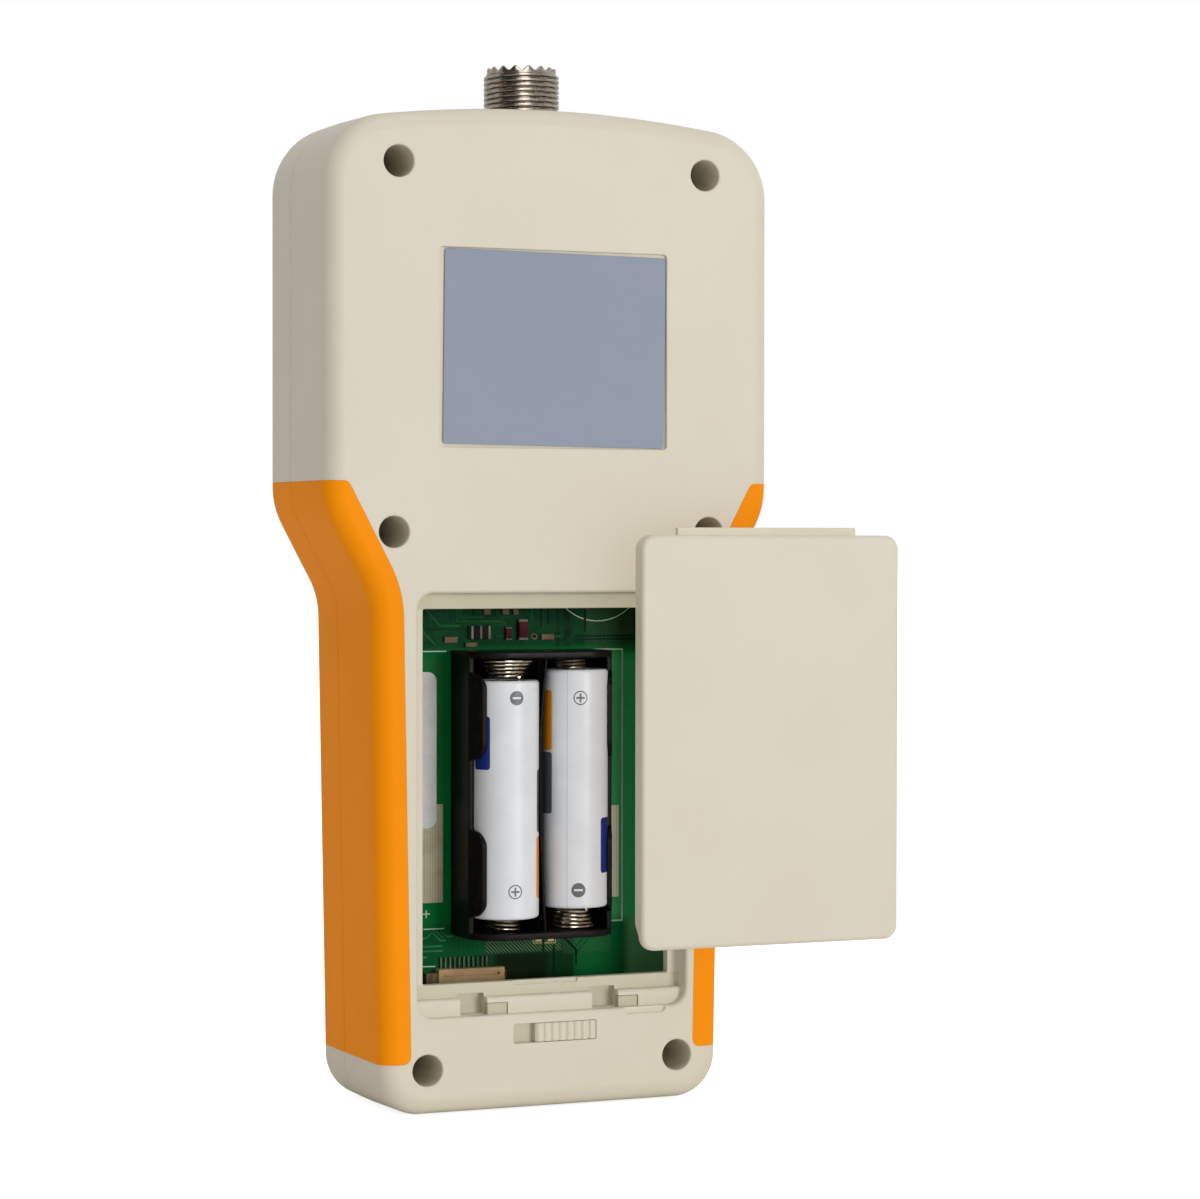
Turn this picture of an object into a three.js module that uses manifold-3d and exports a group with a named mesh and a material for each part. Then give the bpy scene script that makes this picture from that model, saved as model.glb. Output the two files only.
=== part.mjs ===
// Handheld antenna analyzer, standing on its base, seen from behind with the battery cover taken off.
// Millimetres, +Z up. The case frame used by the functions below has x to the right as seen from behind,
// y up from the base and z from the front face to the rear face; the last lines stand it upright.
import * as THREE from 'three';
import { mergeVertices } from 'three/addons/utils/BufferGeometryUtils.js';
import Module from 'manifold-3d';

const wasm = await Module();
wasm.setup();

// Case: outline, depth and walls
const caseDepth = 37;
const seamDepth = 15.5;
const seamGap = 0.3;
const wallThickness = 2.5;
const edgeRadius = 4;
const edgeSteps = 4;
const innerEdgeSteps = 2;
const baseHalfWidth = 38.1;
const waistHalfWidth = 40;
const waistHeight = 105.9;
const shoulderRise = 18.8;
const headHalfWidth = 50;
const crownHeight = 207;
const crownRadius = 274;
const crownCornerRadius = 15;
const shoulderRadius = 17;
const baseCornerRadius = 9.5;
const arcSag = 0.07;
const smallArcSag = 0.18;
const cutOverrun = 2;
const fitGap = 0.3;
const shoulderHeight = waistHeight + shoulderRise;

// Soft grips moulded flush into both shells
const gripBorder = 7;
const gripDepth = 1.2;
const gripBottom = 11.2;
const gripRise = 5;
const gripCornerRadius = 1.7;
const gripTop = shoulderHeight + gripRise;

// Screws: wells in the rear shell, posts in the front shell
const headScrewInset = 15.84;
const headScrewDrop = 12.7;
const shoulderScrewInset = 4.85;
const shoulderScrewDrop = 5.35;
const baseScrewInset = 10.2;
const baseScrewRise = 9.7;
const screwPlaces = [
  { x: headHalfWidth - headScrewInset, y: crownHeight - headScrewDrop },
  { x: waistHalfWidth - shoulderScrewInset, y: shoulderHeight - shoulderScrewDrop },
  { x: baseHalfWidth - baseScrewInset, y: baseScrewRise },
];
const wellDiameter = 6.5;
const wellWall = 1.5;
const wellFloor = 2.8;
const postDrop = 1.2;
const screwHeadDiameter = 5.4;
const screwHeadHeight = 2;
const screwShankDiameter = 3;
const screwLength = 12;
const screwHoleClearance = 0.3;
const screwRecessDiameter = 2.6;
const screwRecessDepth = 1.1;
const screwRecessSides = 6;
const roundSides = 16;
const fineRoundSides = 32;
const smallRoundSides = 12;

// Label in its shallow pocket
const labelPocketWidth = 50.7;
const labelPocketHeight = 40.7;
const labelPocketY = 157;
const labelPocketDepth = 0.7;
const labelSideGap = 0.65;
const labelEndGap = 0.45;
const labelWidth = labelPocketWidth - 2 * labelSideGap;
const labelHeight = labelPocketHeight - 2 * labelEndGap;
const labelThickness = 0.25;
const labelShiftX = 0.35;
const labelTurn = THREE.MathUtils.degToRad(-0.6);
const labelCornerRadius = 0.6;
const stickerGap = 0.15;

// Battery compartment: dished recess, ledge and window
const recessWidth = 60.4;
const recessBottom = 20.5;
const recessTop = 106.9;
const recessDepth = 4;
const recessCornerRadius = 2.8;
const ledgeThickness = 2;
const windowHalfWidth = 27.3;
const windowBottom = 27;
const windowTop = 103.6;
const windowCornerRadius = 0.6;
const barTop = 23.9;
const barHeight = 2;
const hookNotchPlaces = [-17.65, 11.8];
const hookNotchWidth = 6.3;
const hookNotchTop = 25;
const hookNotchDepth = 0.7;
const lipNotchX = -1.8;
const lipNotchWidth = 14;
const lipNotchHeight = 1.3;
const lipNotchDepth = 0.8;
const pryX = 20.5;
const pryWidth = 9.4;
const pryHeight = 1.5;
const pryDepth = 1;
const tongueWidth = 41.4;
const tongueReach = 1.6;
const tongueThickness = 1.2;

// Battery cover
const coverSideGap = 0.3;
const coverEndGap = 0.6;
const coverThickness = 1.7;
const coverSkirt = 1.5;
const coverEdge = 0.8;
const coverRibHeight = 1;
const coverRibWidth = 1.2;
const coverRibPitch = 17;
const coverRibCount = 4;
const hookWidth = 5;
const hookThickness = 1.3;
const hookFoot = 0.9;
const hookOverlap = 1.9;
const coverOff = { x: 43.1, y: 12.5, z: 14.3 };

// Cover latch
const latchSlotLeft = -9.05;
const latchSlotRight = 9.55;
const latchSlotBottom = 14.1;
const latchSlotTop = 18.2;
const latchThumbWidth = 13.5;
const latchTravel = 4.4;
const latchPlateThickness = 2.4;
const latchPocketDepth = 0.7;
const latchRibCount = 8;
const latchRibDepth = 0.8;
const fingerWidth = 4.8;
const fingerThickness = 1;
const fingerTop = 22.6;

// Circuit board and what is soldered to it
const boardRear = 16.6;
const boardThickness = 1.6;
const boardEdgeGap = 0.8;
const boardBottom = 13;
const boardTop = 194;
const standoffDiameter = 6;
const headStandoffInset = 7.5;
const waistStandoffInset = 6.2;
const standoffHeights = { head: 150, waist: 72, base: 32 };
const standoffPlaces = [
  { x: headHalfWidth - headStandoffInset, y: standoffHeights.head },
  { x: waistHalfWidth - waistStandoffInset, y: standoffHeights.waist },
  { x: waistHalfWidth - waistStandoffInset, y: standoffHeights.base },
];

// Battery holder for two cells side by side
const holderX = 1;
const holderBottom = 34.8;
const holderTop = 94.6;
const holderEndWall = 1.4;
const holderFloor = 1.3;
const holderLift = 0.9;
const cellDiameter = 14.2;
const cellSpacing = 15.66;
const cellClearance = 0.3;
const holderWall = 1.3;
const holderRim = 7.2;
const lobeEndGap = 4.5;
const lobeLength = 18.3;
const lowWallRise = 0.7;
const dividerRise = 3;

// Cells
const cellBody = 49.4;
const cellButton = 1.1;
const cellButtonDiameter = 5.5;
const cellCrimp = 0.7;
const cellLeftBottom = 39.2;
const cellRightBottom = 40.9;

// Contact springs
const springWire = 0.6;
const minusSpringLeft = { wide: 4.7, narrow: 3, turns: 3 };
const minusSpringRight = { wide: 4.4, narrow: 3, turns: 3 };
const plusSpringLeft = { wide: 2.8, narrow: 1.4, turns: 1 };
const plusSpringRight = { wide: 2.4, narrow: 1.2, turns: 1 };
const springPlateGap = 0.3;
const springCellGap = 0.3;
const springTurnSteps = 8;
const springSides = 5;
const springLeast = 0.4;

// Keypad cable connector and cable
const connectorX = -11.4;
const connectorWidth = 16.6;
const connectorBottom = 24.2;
const connectorHeight = 3.6;
const connectorThick = 2.2;
const connectorPins = 11;
const connectorPinPitch = 1.07;
const connectorPinWidth = 0.35;
const connectorPinReach = 2.3;
const cableWidth = 11.6;
const cableThickness = 0.3;

// Board sticker
const stickerRight = -18.4;
const stickerWidth = 8;
const stickerBottom = 57.3;
const stickerHeight = 32.8;
const stickerThickness = 0.15;
const stickerCornerRadius = 2;

// Coaxial socket in the top end
const socketThreadDiameter = 15.88;
const socketRise = 10.05;
const socketBoreDiameter = 12.9;
const socketBoreDepth = 6.95;
const socketFlangeDiameter = 20;
const socketFlangeThickness = 2.5;
const socketTail = 7;
const socketCrownTeeth = 16;
const socketCrownDepth = 1.2;
const insulatorThickness = 4.5;
const socketPinDiameter = 5;
const socketPinBore = 4;
const socketPinRise = 1.2;
const socketTailDiameter = 2;

// Front: display above, keys below
const displayWidth = 66;
const displayHeight = 52;
const displayY = 158;
const displayOpeningBorder = 3;
const lensThickness = 1.2;
const displayPanelThickness = 4.2;
const displayPanelBorder = 3;
const keyColumns = 3;
const keyRows = 6;
const keyWidth = 16;
const keyHeight = 10;
const keyPitchX = 20.5;
const keyPitchY = 15;
const keyBottomRow = 24;
const keyProud = 0.8;
const keyCornerRadius = 2;
const keyGap = 0.4;
const keyFlange = 1;
const keyFlangeThickness = 0.8;
const keyTravel = 0.5;
const keyCrown = 0.5;
const keyboardThickness = 1.2;
const keyboardBorder = 3;

// Data socket in the base
const dataSocketX = 14;
const dataSocketWidth = 7.6;
const dataSocketHeight = 3.9;
const dataSocketDepth = 9;
const dataSocketWall = 0.5;

const ledgeRear = caseDepth - recessDepth;
const barRear = ledgeRear + barHeight;
const wellFloorZ = seamDepth + seamGap / 2 + wellFloor;
const boardFront = boardRear - boardThickness;

// Materials
function finish(color, roughness, metalness = 0) {
  return new THREE.MeshStandardMaterial({ color, roughness, metalness });
}
const beigePlastic = finish(0xdbd3c0, 0.55);
const orangeRubber = finish(0xf29100, 0.6);
const greyLabel = finish(0x959eb0, 0.4);
const blackPlastic = finish(0x17171a, 0.45);
const boardGreen = finish(0x0d4a20, 0.4);
const nickel = finish(0xb9b2a4, 0.3, 1);
const brass = finish(0xb89a60, 0.35, 1);
const whiteSleeve = finish(0xc2c4c6, 0.35);
const whiteInsulator = finish(0xe8e6df, 0.5);
const tanPlastic = finish(0xa88f6c, 0.5);
const paperWhite = finish(0xe6e4e0, 0.6);
const darkGlass = finish(0x101418, 0.1);
const keyRubber = finish(0x3a3d42, 0.65);
const steel = finish(0x8a8d90, 0.35, 1);
const cableWhite = finish(0xd8d8d2, 0.5);

// Solids: conversion between three.js geometry and closed solids for joining and cutting
function toSolid(geometry) {
  const bare = geometry.index ? geometry.toNonIndexed() : geometry.clone();
  for (const name of Object.keys(bare.attributes)) {
    if (name !== 'position') bare.deleteAttribute(name);
  }
  const merged = mergeVertices(bare, 1e-4);
  const mesh = new wasm.Mesh({
    numProp: 3,
    vertProperties: new Float32Array(merged.attributes.position.array),
    triVerts: new Uint32Array(merged.index.array),
  });
  return new wasm.Manifold(mesh);
}

function toGeometry(solid) {
  const mesh = solid.getMesh();
  const geometry = new THREE.BufferGeometry();
  geometry.setAttribute('position', new THREE.BufferAttribute(new Float32Array(mesh.vertProperties), 3));
  geometry.setIndex(new THREE.BufferAttribute(new Uint32Array(mesh.triVerts), 1));
  return geometry;
}

function joinAll(solids) {
  return solids.reduce((whole, next) => whole.add(next));
}

function cutAll(body, cutters) {
  return cutters.reduce((whole, next) => whole.subtract(next), body);
}

// Block between two corners
function block(x0, x1, y0, y1, z0, z1) {
  const geometry = new THREE.BoxGeometry(x1 - x0, y1 - y0, z1 - z0);
  geometry.translate((x0 + x1) / 2, (y0 + y1) / 2, (z0 + z1) / 2);
  return toSolid(geometry);
}

// Round rod along z
function rod(diameter, x, y, z0, z1, sides = roundSides) {
  const geometry = new THREE.CylinderGeometry(diameter / 2, diameter / 2, z1 - z0, sides);
  geometry.rotateX(Math.PI / 2);
  geometry.translate(x, y, (z0 + z1) / 2);
  return toSolid(geometry);
}

// Flat shape raised from z0 to z1
function prism(shape, z0, z1) {
  const geometry = new THREE.ExtrudeGeometry(shape, { depth: z1 - z0, bevelEnabled: false, steps: 1 });
  geometry.translate(0, 0, z0);
  return toSolid(geometry);
}

function arcSteps(radius, turn, sag) {
  const stepAngle = 2 * Math.acos(Math.max(1 - sag / Math.max(radius, sag), 0));
  return Math.max(1, Math.ceil(Math.abs(turn) / stepAngle));
}

// Closed outline from corners, each with its own fillet, moved inwards by inset.
// Outward fillets shrink with the inset and inward ones grow, so all walls stay parallel,
// and each fillet keeps its number of points.
function filletedOutline(corners, inset = 0, sag = arcSag) {
  const count = corners.length;
  const sides = corners.map((corner, i) => {
    const next = corners[(i + 1) % count];
    const along = new THREE.Vector2(next.x - corner.x, next.y - corner.y).normalize();
    const inward = new THREE.Vector2(-along.y, along.x);
    return { along, start: new THREE.Vector2(corner.x, corner.y).addScaledVector(inward, inset) };
  });
  const points = [];
  corners.forEach((corner, i) => {
    const before = sides[(i + count - 1) % count];
    const after = sides[i];
    const turn = Math.atan2(before.along.cross(after.along), before.along.dot(after.along));
    const gap = after.start.clone().sub(before.start);
    const reach = gap.cross(after.along) / before.along.cross(after.along);
    const vertex = before.start.clone().addScaledVector(before.along, reach);
    const radius = Math.max(corner.r - Math.sign(turn) * inset, 0);
    if (radius === 0) {
      points.push(vertex);
      return;
    }
    const tangent = radius * Math.tan(Math.abs(turn) / 2);
    const start = vertex.clone().addScaledVector(before.along, -tangent);
    const side = new THREE.Vector2(-before.along.y, before.along.x).multiplyScalar(Math.sign(turn));
    const centre = start.clone().addScaledVector(side, radius);
    const steps = arcSteps(corner.r, turn, sag);
    for (let k = 0; k <= steps; k += 1) {
      points.push(start.clone().rotateAround(centre, (turn * k) / steps));
    }
  });
  return new THREE.Shape(points);
}

function rectangle(x, y, width, height, radius, inset = 0) {
  const halfWidth = width / 2;
  const halfHeight = height / 2;
  const corners = [
    { x: x - halfWidth, y: y - halfHeight, r: radius },
    { x: x + halfWidth, y: y - halfHeight, r: radius },
    { x: x + halfWidth, y: y + halfHeight, r: radius },
    { x: x - halfWidth, y: y + halfHeight, r: radius },
  ];
  return filletedOutline(corners, inset, smallArcSag);
}

// Outline of the case: narrow waist, sloping shoulders, wide head with a gently arched crown
const crownSlope = Math.atan((headHalfWidth - crownCornerRadius) / crownRadius);
const crownApex = crownHeight + crownRadius * (1 / Math.cos(crownSlope) - 1);
const halfCorners = [
  { x: baseHalfWidth, y: 0, r: baseCornerRadius },
  { x: waistHalfWidth, y: waistHeight, r: shoulderRadius },
  { x: headHalfWidth, y: shoulderHeight, r: shoulderRadius },
  { x: headHalfWidth, y: crownApex - headHalfWidth * Math.tan(crownSlope), r: crownCornerRadius },
];
const caseCorners = [
  ...halfCorners,
  { x: 0, y: crownApex, r: crownRadius },
  ...halfCorners.slice().reverse().map((corner) => ({ ...corner, x: -corner.x })),
];

// The case block between two depths with rounded edges all round
function roundedBlock(inset, front, rear, radius, steps = innerEdgeSteps) {
  const shape = filletedOutline(caseCorners, inset);
  const geometry = new THREE.ExtrudeGeometry(shape, {
    depth: rear - front - 2 * radius,
    steps: 1,
    bevelEnabled: true,
    bevelThickness: radius,
    bevelSize: radius,
    bevelOffset: -radius,
    bevelSegments: steps,
  });
  geometry.translate(0, 0, front + radius);
  return toSolid(geometry);
}

const wholeCase = roundedBlock(0, 0, caseDepth, edgeRadius, edgeSteps);
const cavity = roundedBlock(
  wallThickness,
  wallThickness,
  caseDepth - wallThickness,
  edgeRadius - wallThickness,
);
const gripCore = roundedBlock(gripDepth, gripDepth, caseDepth - gripDepth, edgeRadius - gripDepth);
const pocketBlank = roundedBlock(-cutOverrun, -cutOverrun, caseDepth + cutOverrun, edgeRadius + cutOverrun);
const pocketCore = roundedBlock(
  gripDepth + fitGap,
  gripDepth + fitGap,
  caseDepth - gripDepth - fitGap,
  edgeRadius - gripDepth - fitGap,
);
const rearHalf = block(
  -headHalfWidth - cutOverrun, headHalfWidth + cutOverrun,
  -cutOverrun, crownHeight + cutOverrun,
  seamDepth + seamGap / 2, caseDepth + cutOverrun,
);
const frontHalf = block(
  -headHalfWidth - cutOverrun, headHalfWidth + cutOverrun,
  -cutOverrun, crownHeight + cutOverrun,
  -cutOverrun, seamDepth - seamGap / 2,
);

// Grip area on one side (1 right, -1 left): everything outside a line that follows the case outline
function gripArea(side, grow) {
  const slope = (headHalfWidth - waistHalfWidth) / (shoulderHeight - waistHeight);
  const slant = gripBorder * Math.hypot(1, slope);
  const taper = (waistHalfWidth - baseHalfWidth) / waistHeight;
  const topX = headHalfWidth - (shoulderHeight - gripTop) * slope - slant;
  const kneeY = waistHeight + (slant - gripBorder) / slope;
  const far = headHalfWidth + cutOverrun;
  const corners = [
    { x: far, y: gripBottom, r: 0 },
    { x: far, y: gripTop, r: 0 },
    { x: topX, y: gripTop, r: gripCornerRadius },
    { x: waistHalfWidth - gripBorder, y: kneeY, r: shoulderRadius + gripBorder },
    { x: baseHalfWidth + gripBottom * taper - gripBorder, y: gripBottom, r: gripCornerRadius },
  ];
  const turned = side > 0 ? corners : corners.map((corner) => ({ ...corner, x: -corner.x })).reverse();
  return prism(filletedOutline(turned, -grow), -cutOverrun, caseDepth + cutOverrun);
}

function gripPiece(side, half) {
  return wholeCase.subtract(gripCore).intersect(gripArea(side, 0)).intersect(half);
}

function gripPocket(side) {
  return pocketBlank.subtract(pocketCore).intersect(gripArea(side, fitGap));
}

function bothSides(places) {
  return places.flatMap((place) => [{ x: -place.x, y: place.y }, place]);
}

// Screw wells: a closed tube behind the rear wall, with a floor that the screw head pulls on
function wellTube(place) {
  const outer = wellDiameter + 2 * wellWall;
  return rod(outer, place.x, place.y, seamDepth + seamGap / 2, caseDepth - wallThickness / 2);
}

function wellHole(place) {
  const hole = rod(wellDiameter, place.x, place.y, wellFloorZ, caseDepth + cutOverrun);
  const pass = screwShankDiameter + 2 * screwHoleClearance;
  return hole.add(rod(pass, place.x, place.y, seamDepth - cutOverrun, wellFloorZ + cutOverrun));
}

function recessCutter() {
  const y = (recessBottom + recessTop) / 2;
  const tray = rectangle(0, y, recessWidth, recessTop - recessBottom, recessCornerRadius);
  return prism(tray, ledgeRear, caseDepth + cutOverrun);
}

function recessBody() {
  const y = (recessBottom + recessTop) / 2;
  const tray = rectangle(0, y, recessWidth, recessTop - recessBottom, recessCornerRadius, -ledgeThickness);
  return prism(tray, ledgeRear - ledgeThickness, caseDepth - wallThickness / 2);
}

function windowCutter() {
  const y = (windowBottom + windowTop) / 2;
  const opening = rectangle(0, y, 2 * windowHalfWidth, windowTop - windowBottom, windowCornerRadius);
  return prism(opening, ledgeRear - ledgeThickness - cutOverrun, caseDepth + cutOverrun);
}

const fingerRear = barRear - 0.5 * fingerThickness + fitGap;
const fingerFront = fingerRear - fingerThickness;
const fingerPlaces = hookNotchPlaces.map((x) => x + hookNotchWidth / 2 + fitGap + fingerWidth / 2);
const latchPlateRear = caseDepth - wallThickness + latchPocketDepth - fitGap;
const latchPlateFront = latchPlateRear - latchPlateThickness;
const latchPlateBottom = latchSlotBottom - 1.2 * wallThickness / 2;
const latchPlateTop = recessBottom - ledgeThickness - fitGap;
const latchThumbRight = latchSlotRight - fitGap;
const latchThumbLeft = latchThumbRight - latchThumbWidth;

// The raised bar along the foot of the recess, where the cover hooks and the latch fingers meet
function recessBar() {
  const bite = ledgeThickness / 2;
  const half = recessWidth / 2 + bite;
  return block(-half, half, recessBottom - bite, barTop, ledgeRear - bite, barRear);
}

function barCuts() {
  const cuts = [];
  hookNotchPlaces.forEach((x, i) => {
    const half = hookNotchWidth / 2;
    cuts.push(block(x - half, x + half, recessBottom, hookNotchTop, ledgeRear - hookNotchDepth, caseDepth));
    const finger = fingerPlaces[i];
    const reach = fingerWidth / 2 + fitGap;
    const left = finger - reach - latchTravel;
    const right = finger + reach;
    cuts.push(block(x, right, recessBottom, fingerTop + fitGap, fingerFront - fitGap, caseDepth));
    const wallBack = recessBottom - ledgeThickness - cutOverrun;
    const wallFront = recessBottom + fitGap;
    cuts.push(block(left, right, wallBack, wallFront, fingerFront - fitGap, fingerRear + fitGap));
  });
  return cuts;
}

function latchCuts() {
  const slot = block(
    latchSlotLeft, latchSlotRight, latchSlotBottom, latchSlotTop,
    caseDepth - 2 * wallThickness, caseDepth + cutOverrun,
  );
  const left = fingerPlaces[0] - fingerWidth / 2 - latchTravel - 2 * fitGap;
  const right = fingerPlaces[1] + fingerWidth / 2 + 2 * fitGap;
  const pocket = block(
    left, right, latchPlateBottom - fitGap, recessBottom - ledgeThickness,
    caseDepth - 2 * wallThickness, latchPlateRear + fitGap,
  );
  return [slot, pocket];
}

// Two rails below the latch plate keep it straight as it slides
function latchRails() {
  const length = latchThumbWidth / 2;
  const top = latchPlateBottom - fitGap;
  const bottom = top - wallThickness / 2;
  return [-1, 1].map((side) => {
    const x = (side * recessWidth) / 4 - (side * length) / 2;
    const rear = caseDepth - wallThickness / 2;
    return block(x - length / 2, x + length / 2, bottom, top, latchPlateFront, rear);
  });
}

function socketAxisHole(diameter) {
  const radius = diameter / 2;
  const geometry = new THREE.CylinderGeometry(radius, radius, 4 * wallThickness + cutOverrun, roundSides);
  geometry.translate(0, crownHeight - wallThickness / 2, caseDepth / 2);
  return toSolid(geometry);
}

function dataSocketHole() {
  const halfWidth = dataSocketWidth / 2 + fitGap;
  const middle = boardFront - dataSocketHeight / 2 - fitGap;
  const halfHeight = dataSocketHeight / 2 + fitGap;
  return block(
    dataSocketX - halfWidth, dataSocketX + halfWidth, -cutOverrun, wallThickness + cutOverrun,
    middle - halfHeight, middle + halfHeight,
  );
}

function rearShell() {
  const wells = bothSides(screwPlaces);
  let body = wholeCase.subtract(cavity).intersect(rearHalf);
  body = joinAll([body, recessBody(), recessBar(), ...latchRails(), ...wells.map(wellTube)]);
  body = body.subtract(recessCutter().subtract(recessBar())).subtract(windowCutter());
  const label = rectangle(0, labelPocketY, labelPocketWidth, labelPocketHeight, labelCornerRadius);
  const lip = block(
    lipNotchX - lipNotchWidth / 2, lipNotchX + lipNotchWidth / 2,
    windowBottom - lipNotchHeight, windowBottom + cutOverrun,
    ledgeRear - lipNotchDepth, caseDepth,
  );
  const pry = prism(
    rectangle(pryX, recessBottom, pryWidth, 2 * pryHeight, pryHeight / 2),
    caseDepth - pryDepth, caseDepth + cutOverrun,
  );
  const tongueSlot = block(
    -tongueWidth / 2 - fitGap, tongueWidth / 2 + fitGap,
    recessTop - fitGap, recessTop + ledgeThickness + cutOverrun,
    ledgeRear, ledgeRear + tongueThickness + 2 * fitGap,
  );
  return cutAll(body, [
    ...wells.map(wellHole),
    ...barCuts(),
    ...latchCuts(),
    prism(label, caseDepth - labelPocketDepth, caseDepth + cutOverrun),
    lip,
    pry,
    tongueSlot,
    gripPocket(-1),
    gripPocket(1),
    socketAxisHole(socketThreadDiameter + 2 * fitGap),
  ]);
}

// Screw posts of the front shell, drilled for the screws; they stop short so that the shells close on their rims
function postTube(place) {
  const outer = wellDiameter + wellWall;
  return rod(outer, place.x, place.y, wallThickness / 2, seamDepth - seamGap / 2 - postDrop);
}

function postHole(place) {
  const bottom = wellFloorZ - screwLength - fitGap;
  return rod(screwShankDiameter + 2 * screwHoleClearance, place.x, place.y, bottom, seamDepth + cutOverrun);
}

function keyCentres() {
  const centres = [];
  for (let row = 0; row < keyRows; row += 1) {
    for (let column = 0; column < keyColumns; column += 1) {
      const x = (column - (keyColumns - 1) / 2) * keyPitchX;
      centres.push({ x, y: keyBottomRow + row * keyPitchY, row, column });
    }
  }
  return centres;
}

function frontShell() {
  const wells = bothSides(screwPlaces);
  let body = wholeCase.subtract(cavity).intersect(frontHalf);
  const standoffs = bothSides(standoffPlaces).map((place) => (
    rod(standoffDiameter, place.x, place.y, wallThickness / 2, boardFront - fitGap, smallRoundSides)
  ));
  body = joinAll([body, ...wells.map(postTube), ...standoffs]);
  const lensSeat = rectangle(
    0, displayY, displayWidth + 2 * fitGap, displayHeight + 2 * fitGap, wallThickness,
  );
  const opening = rectangle(
    0, displayY, displayWidth - 2 * displayOpeningBorder, displayHeight - 2 * displayOpeningBorder,
    wallThickness / 2,
  );
  const keyHoles = keyCentres().map(({ x, y }) => prism(
    rectangle(x, y, keyWidth + 2 * keyGap, keyHeight + 2 * keyGap, keyCornerRadius + keyGap),
    -cutOverrun, wallThickness + cutOverrun,
  ));
  return cutAll(body, [
    ...wells.map(postHole),
    prism(lensSeat, -cutOverrun, lensThickness + fitGap),
    prism(opening, -cutOverrun, wallThickness + cutOverrun),
    ...keyHoles,
    gripPocket(-1),
    gripPocket(1),
    socketAxisHole(socketThreadDiameter + 2 * fitGap),
    dataSocketHole(),
  ]);
}

// Battery cover: a plate with a skirt, a tongue at the top, two hooks at the foot and stiffening ribs
const coverWidth = recessWidth - 2 * coverSideGap;
const coverBottom = recessBottom + coverEndGap;
const coverTop = recessTop - coverEndGap;
const coverInner = caseDepth - coverThickness;

function batteryCover() {
  const y = (coverBottom + coverTop) / 2;
  const height = coverTop - coverBottom;
  const outline = rectangle(0, y, coverWidth, height, recessCornerRadius);
  const skirtFront = ledgeRear + fitGap;
  const slab = new THREE.ExtrudeGeometry(outline, {
    depth: recessDepth,
    steps: 1,
    bevelEnabled: true,
    bevelThickness: coverEdge,
    bevelSize: coverEdge,
    bevelOffset: -coverEdge,
    bevelSegments: edgeSteps,
  });
  slab.translate(0, 0, caseDepth - coverEdge - recessDepth);
  const keep = block(-coverWidth, coverWidth, 0, crownHeight, skirtFront, caseDepth + cutOverrun);
  const inner = prism(rectangle(0, y, coverWidth, height, recessCornerRadius, coverSkirt), 0, coverInner);
  const barClear = block(-coverWidth, coverWidth, 0, barTop + fitGap, 0, coverInner);
  let body = toSolid(slab).intersect(keep).subtract(inner).subtract(barClear);
  const tongueFront = skirtFront;
  body = body.add(block(
    -tongueWidth / 2, tongueWidth / 2,
    coverTop - coverSkirt, coverTop + tongueReach,
    tongueFront, tongueFront + tongueThickness,
  ));
  for (let i = 0; i < coverRibCount; i += 1) {
    const ribY = y + (i - (coverRibCount - 1) / 2) * coverRibPitch;
    const reach = coverWidth / 2 - coverSkirt / 2;
    body = body.add(block(
      -reach, reach, ribY - coverRibWidth / 2, ribY + coverRibWidth / 2,
      coverInner - coverRibHeight, coverInner + coverThickness / 2,
    ));
  }
  hookNotchPlaces.forEach((x) => {
    const left = x - hookWidth / 2;
    const right = x + hookWidth / 2;
    const postBottom = fingerTop + 2 * fitGap;
    const postTop = postBottom + hookThickness;
    const footRear = fingerFront - fitGap;
    const footFront = footRear - hookFoot;
    body = body.add(block(left, right, postBottom, postTop, footFront, coverInner + coverThickness / 2));
    body = body.add(block(left, right, postBottom - hookOverlap, postTop, footFront, footRear));
  });
  return body;
}

// Latch: ribbed thumb piece in the slot, plate behind the wall and two fingers reaching into the recess
function coverLatch() {
  const thumbBottom = latchSlotBottom + 0.5 * fitGap;
  const thumbTop = latchSlotTop - 0.5 * fitGap;
  let body = block(latchThumbLeft, latchThumbRight, thumbBottom, thumbTop, latchPlateFront, caseDepth);
  const plateLeft = fingerPlaces[0] - fingerWidth / 2;
  const plateRight = fingerPlaces[1] + fingerWidth / 2;
  body = body.add(block(
    plateLeft, plateRight, latchPlateBottom, latchPlateTop, latchPlateFront, latchPlateRear,
  ));
  fingerPlaces.forEach((x) => {
    const half = fingerWidth / 2;
    const root = latchPlateTop - ledgeThickness;
    body = body.add(block(x - half, x + half, root, fingerTop, fingerFront, fingerRear));
  });
  const pitch = latchThumbWidth / latchRibCount;
  for (let i = 0; i < latchRibCount; i += 1) {
    const x = latchThumbLeft + (i + 1) * pitch;
    const groove = new THREE.Shape([
      new THREE.Vector2(x - 0.45 * pitch, caseDepth - latchRibDepth),
      new THREE.Vector2(x + 0.05 * pitch, caseDepth - latchRibDepth),
      new THREE.Vector2(x + 0.05 * pitch, caseDepth + cutOverrun),
      new THREE.Vector2(x - 0.8 * pitch, caseDepth + cutOverrun),
      new THREE.Vector2(x - 0.8 * pitch, caseDepth),
    ]);
    const past = cutOverrun / 2;
    body = body.subtract(fromProfile(groove, latchSlotBottom - past, latchSlotTop + past));
  }
  return body;
}

// Profile drawn in x and z, run along y from y0 to y1
function fromProfile(shape, y0, y1) {
  const geometry = new THREE.ExtrudeGeometry(shape, { depth: y1 - y0, bevelEnabled: false, steps: 1 });
  geometry.rotateX(Math.PI / 2);
  geometry.translate(0, y1, 0);
  return toSolid(geometry);
}

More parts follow.
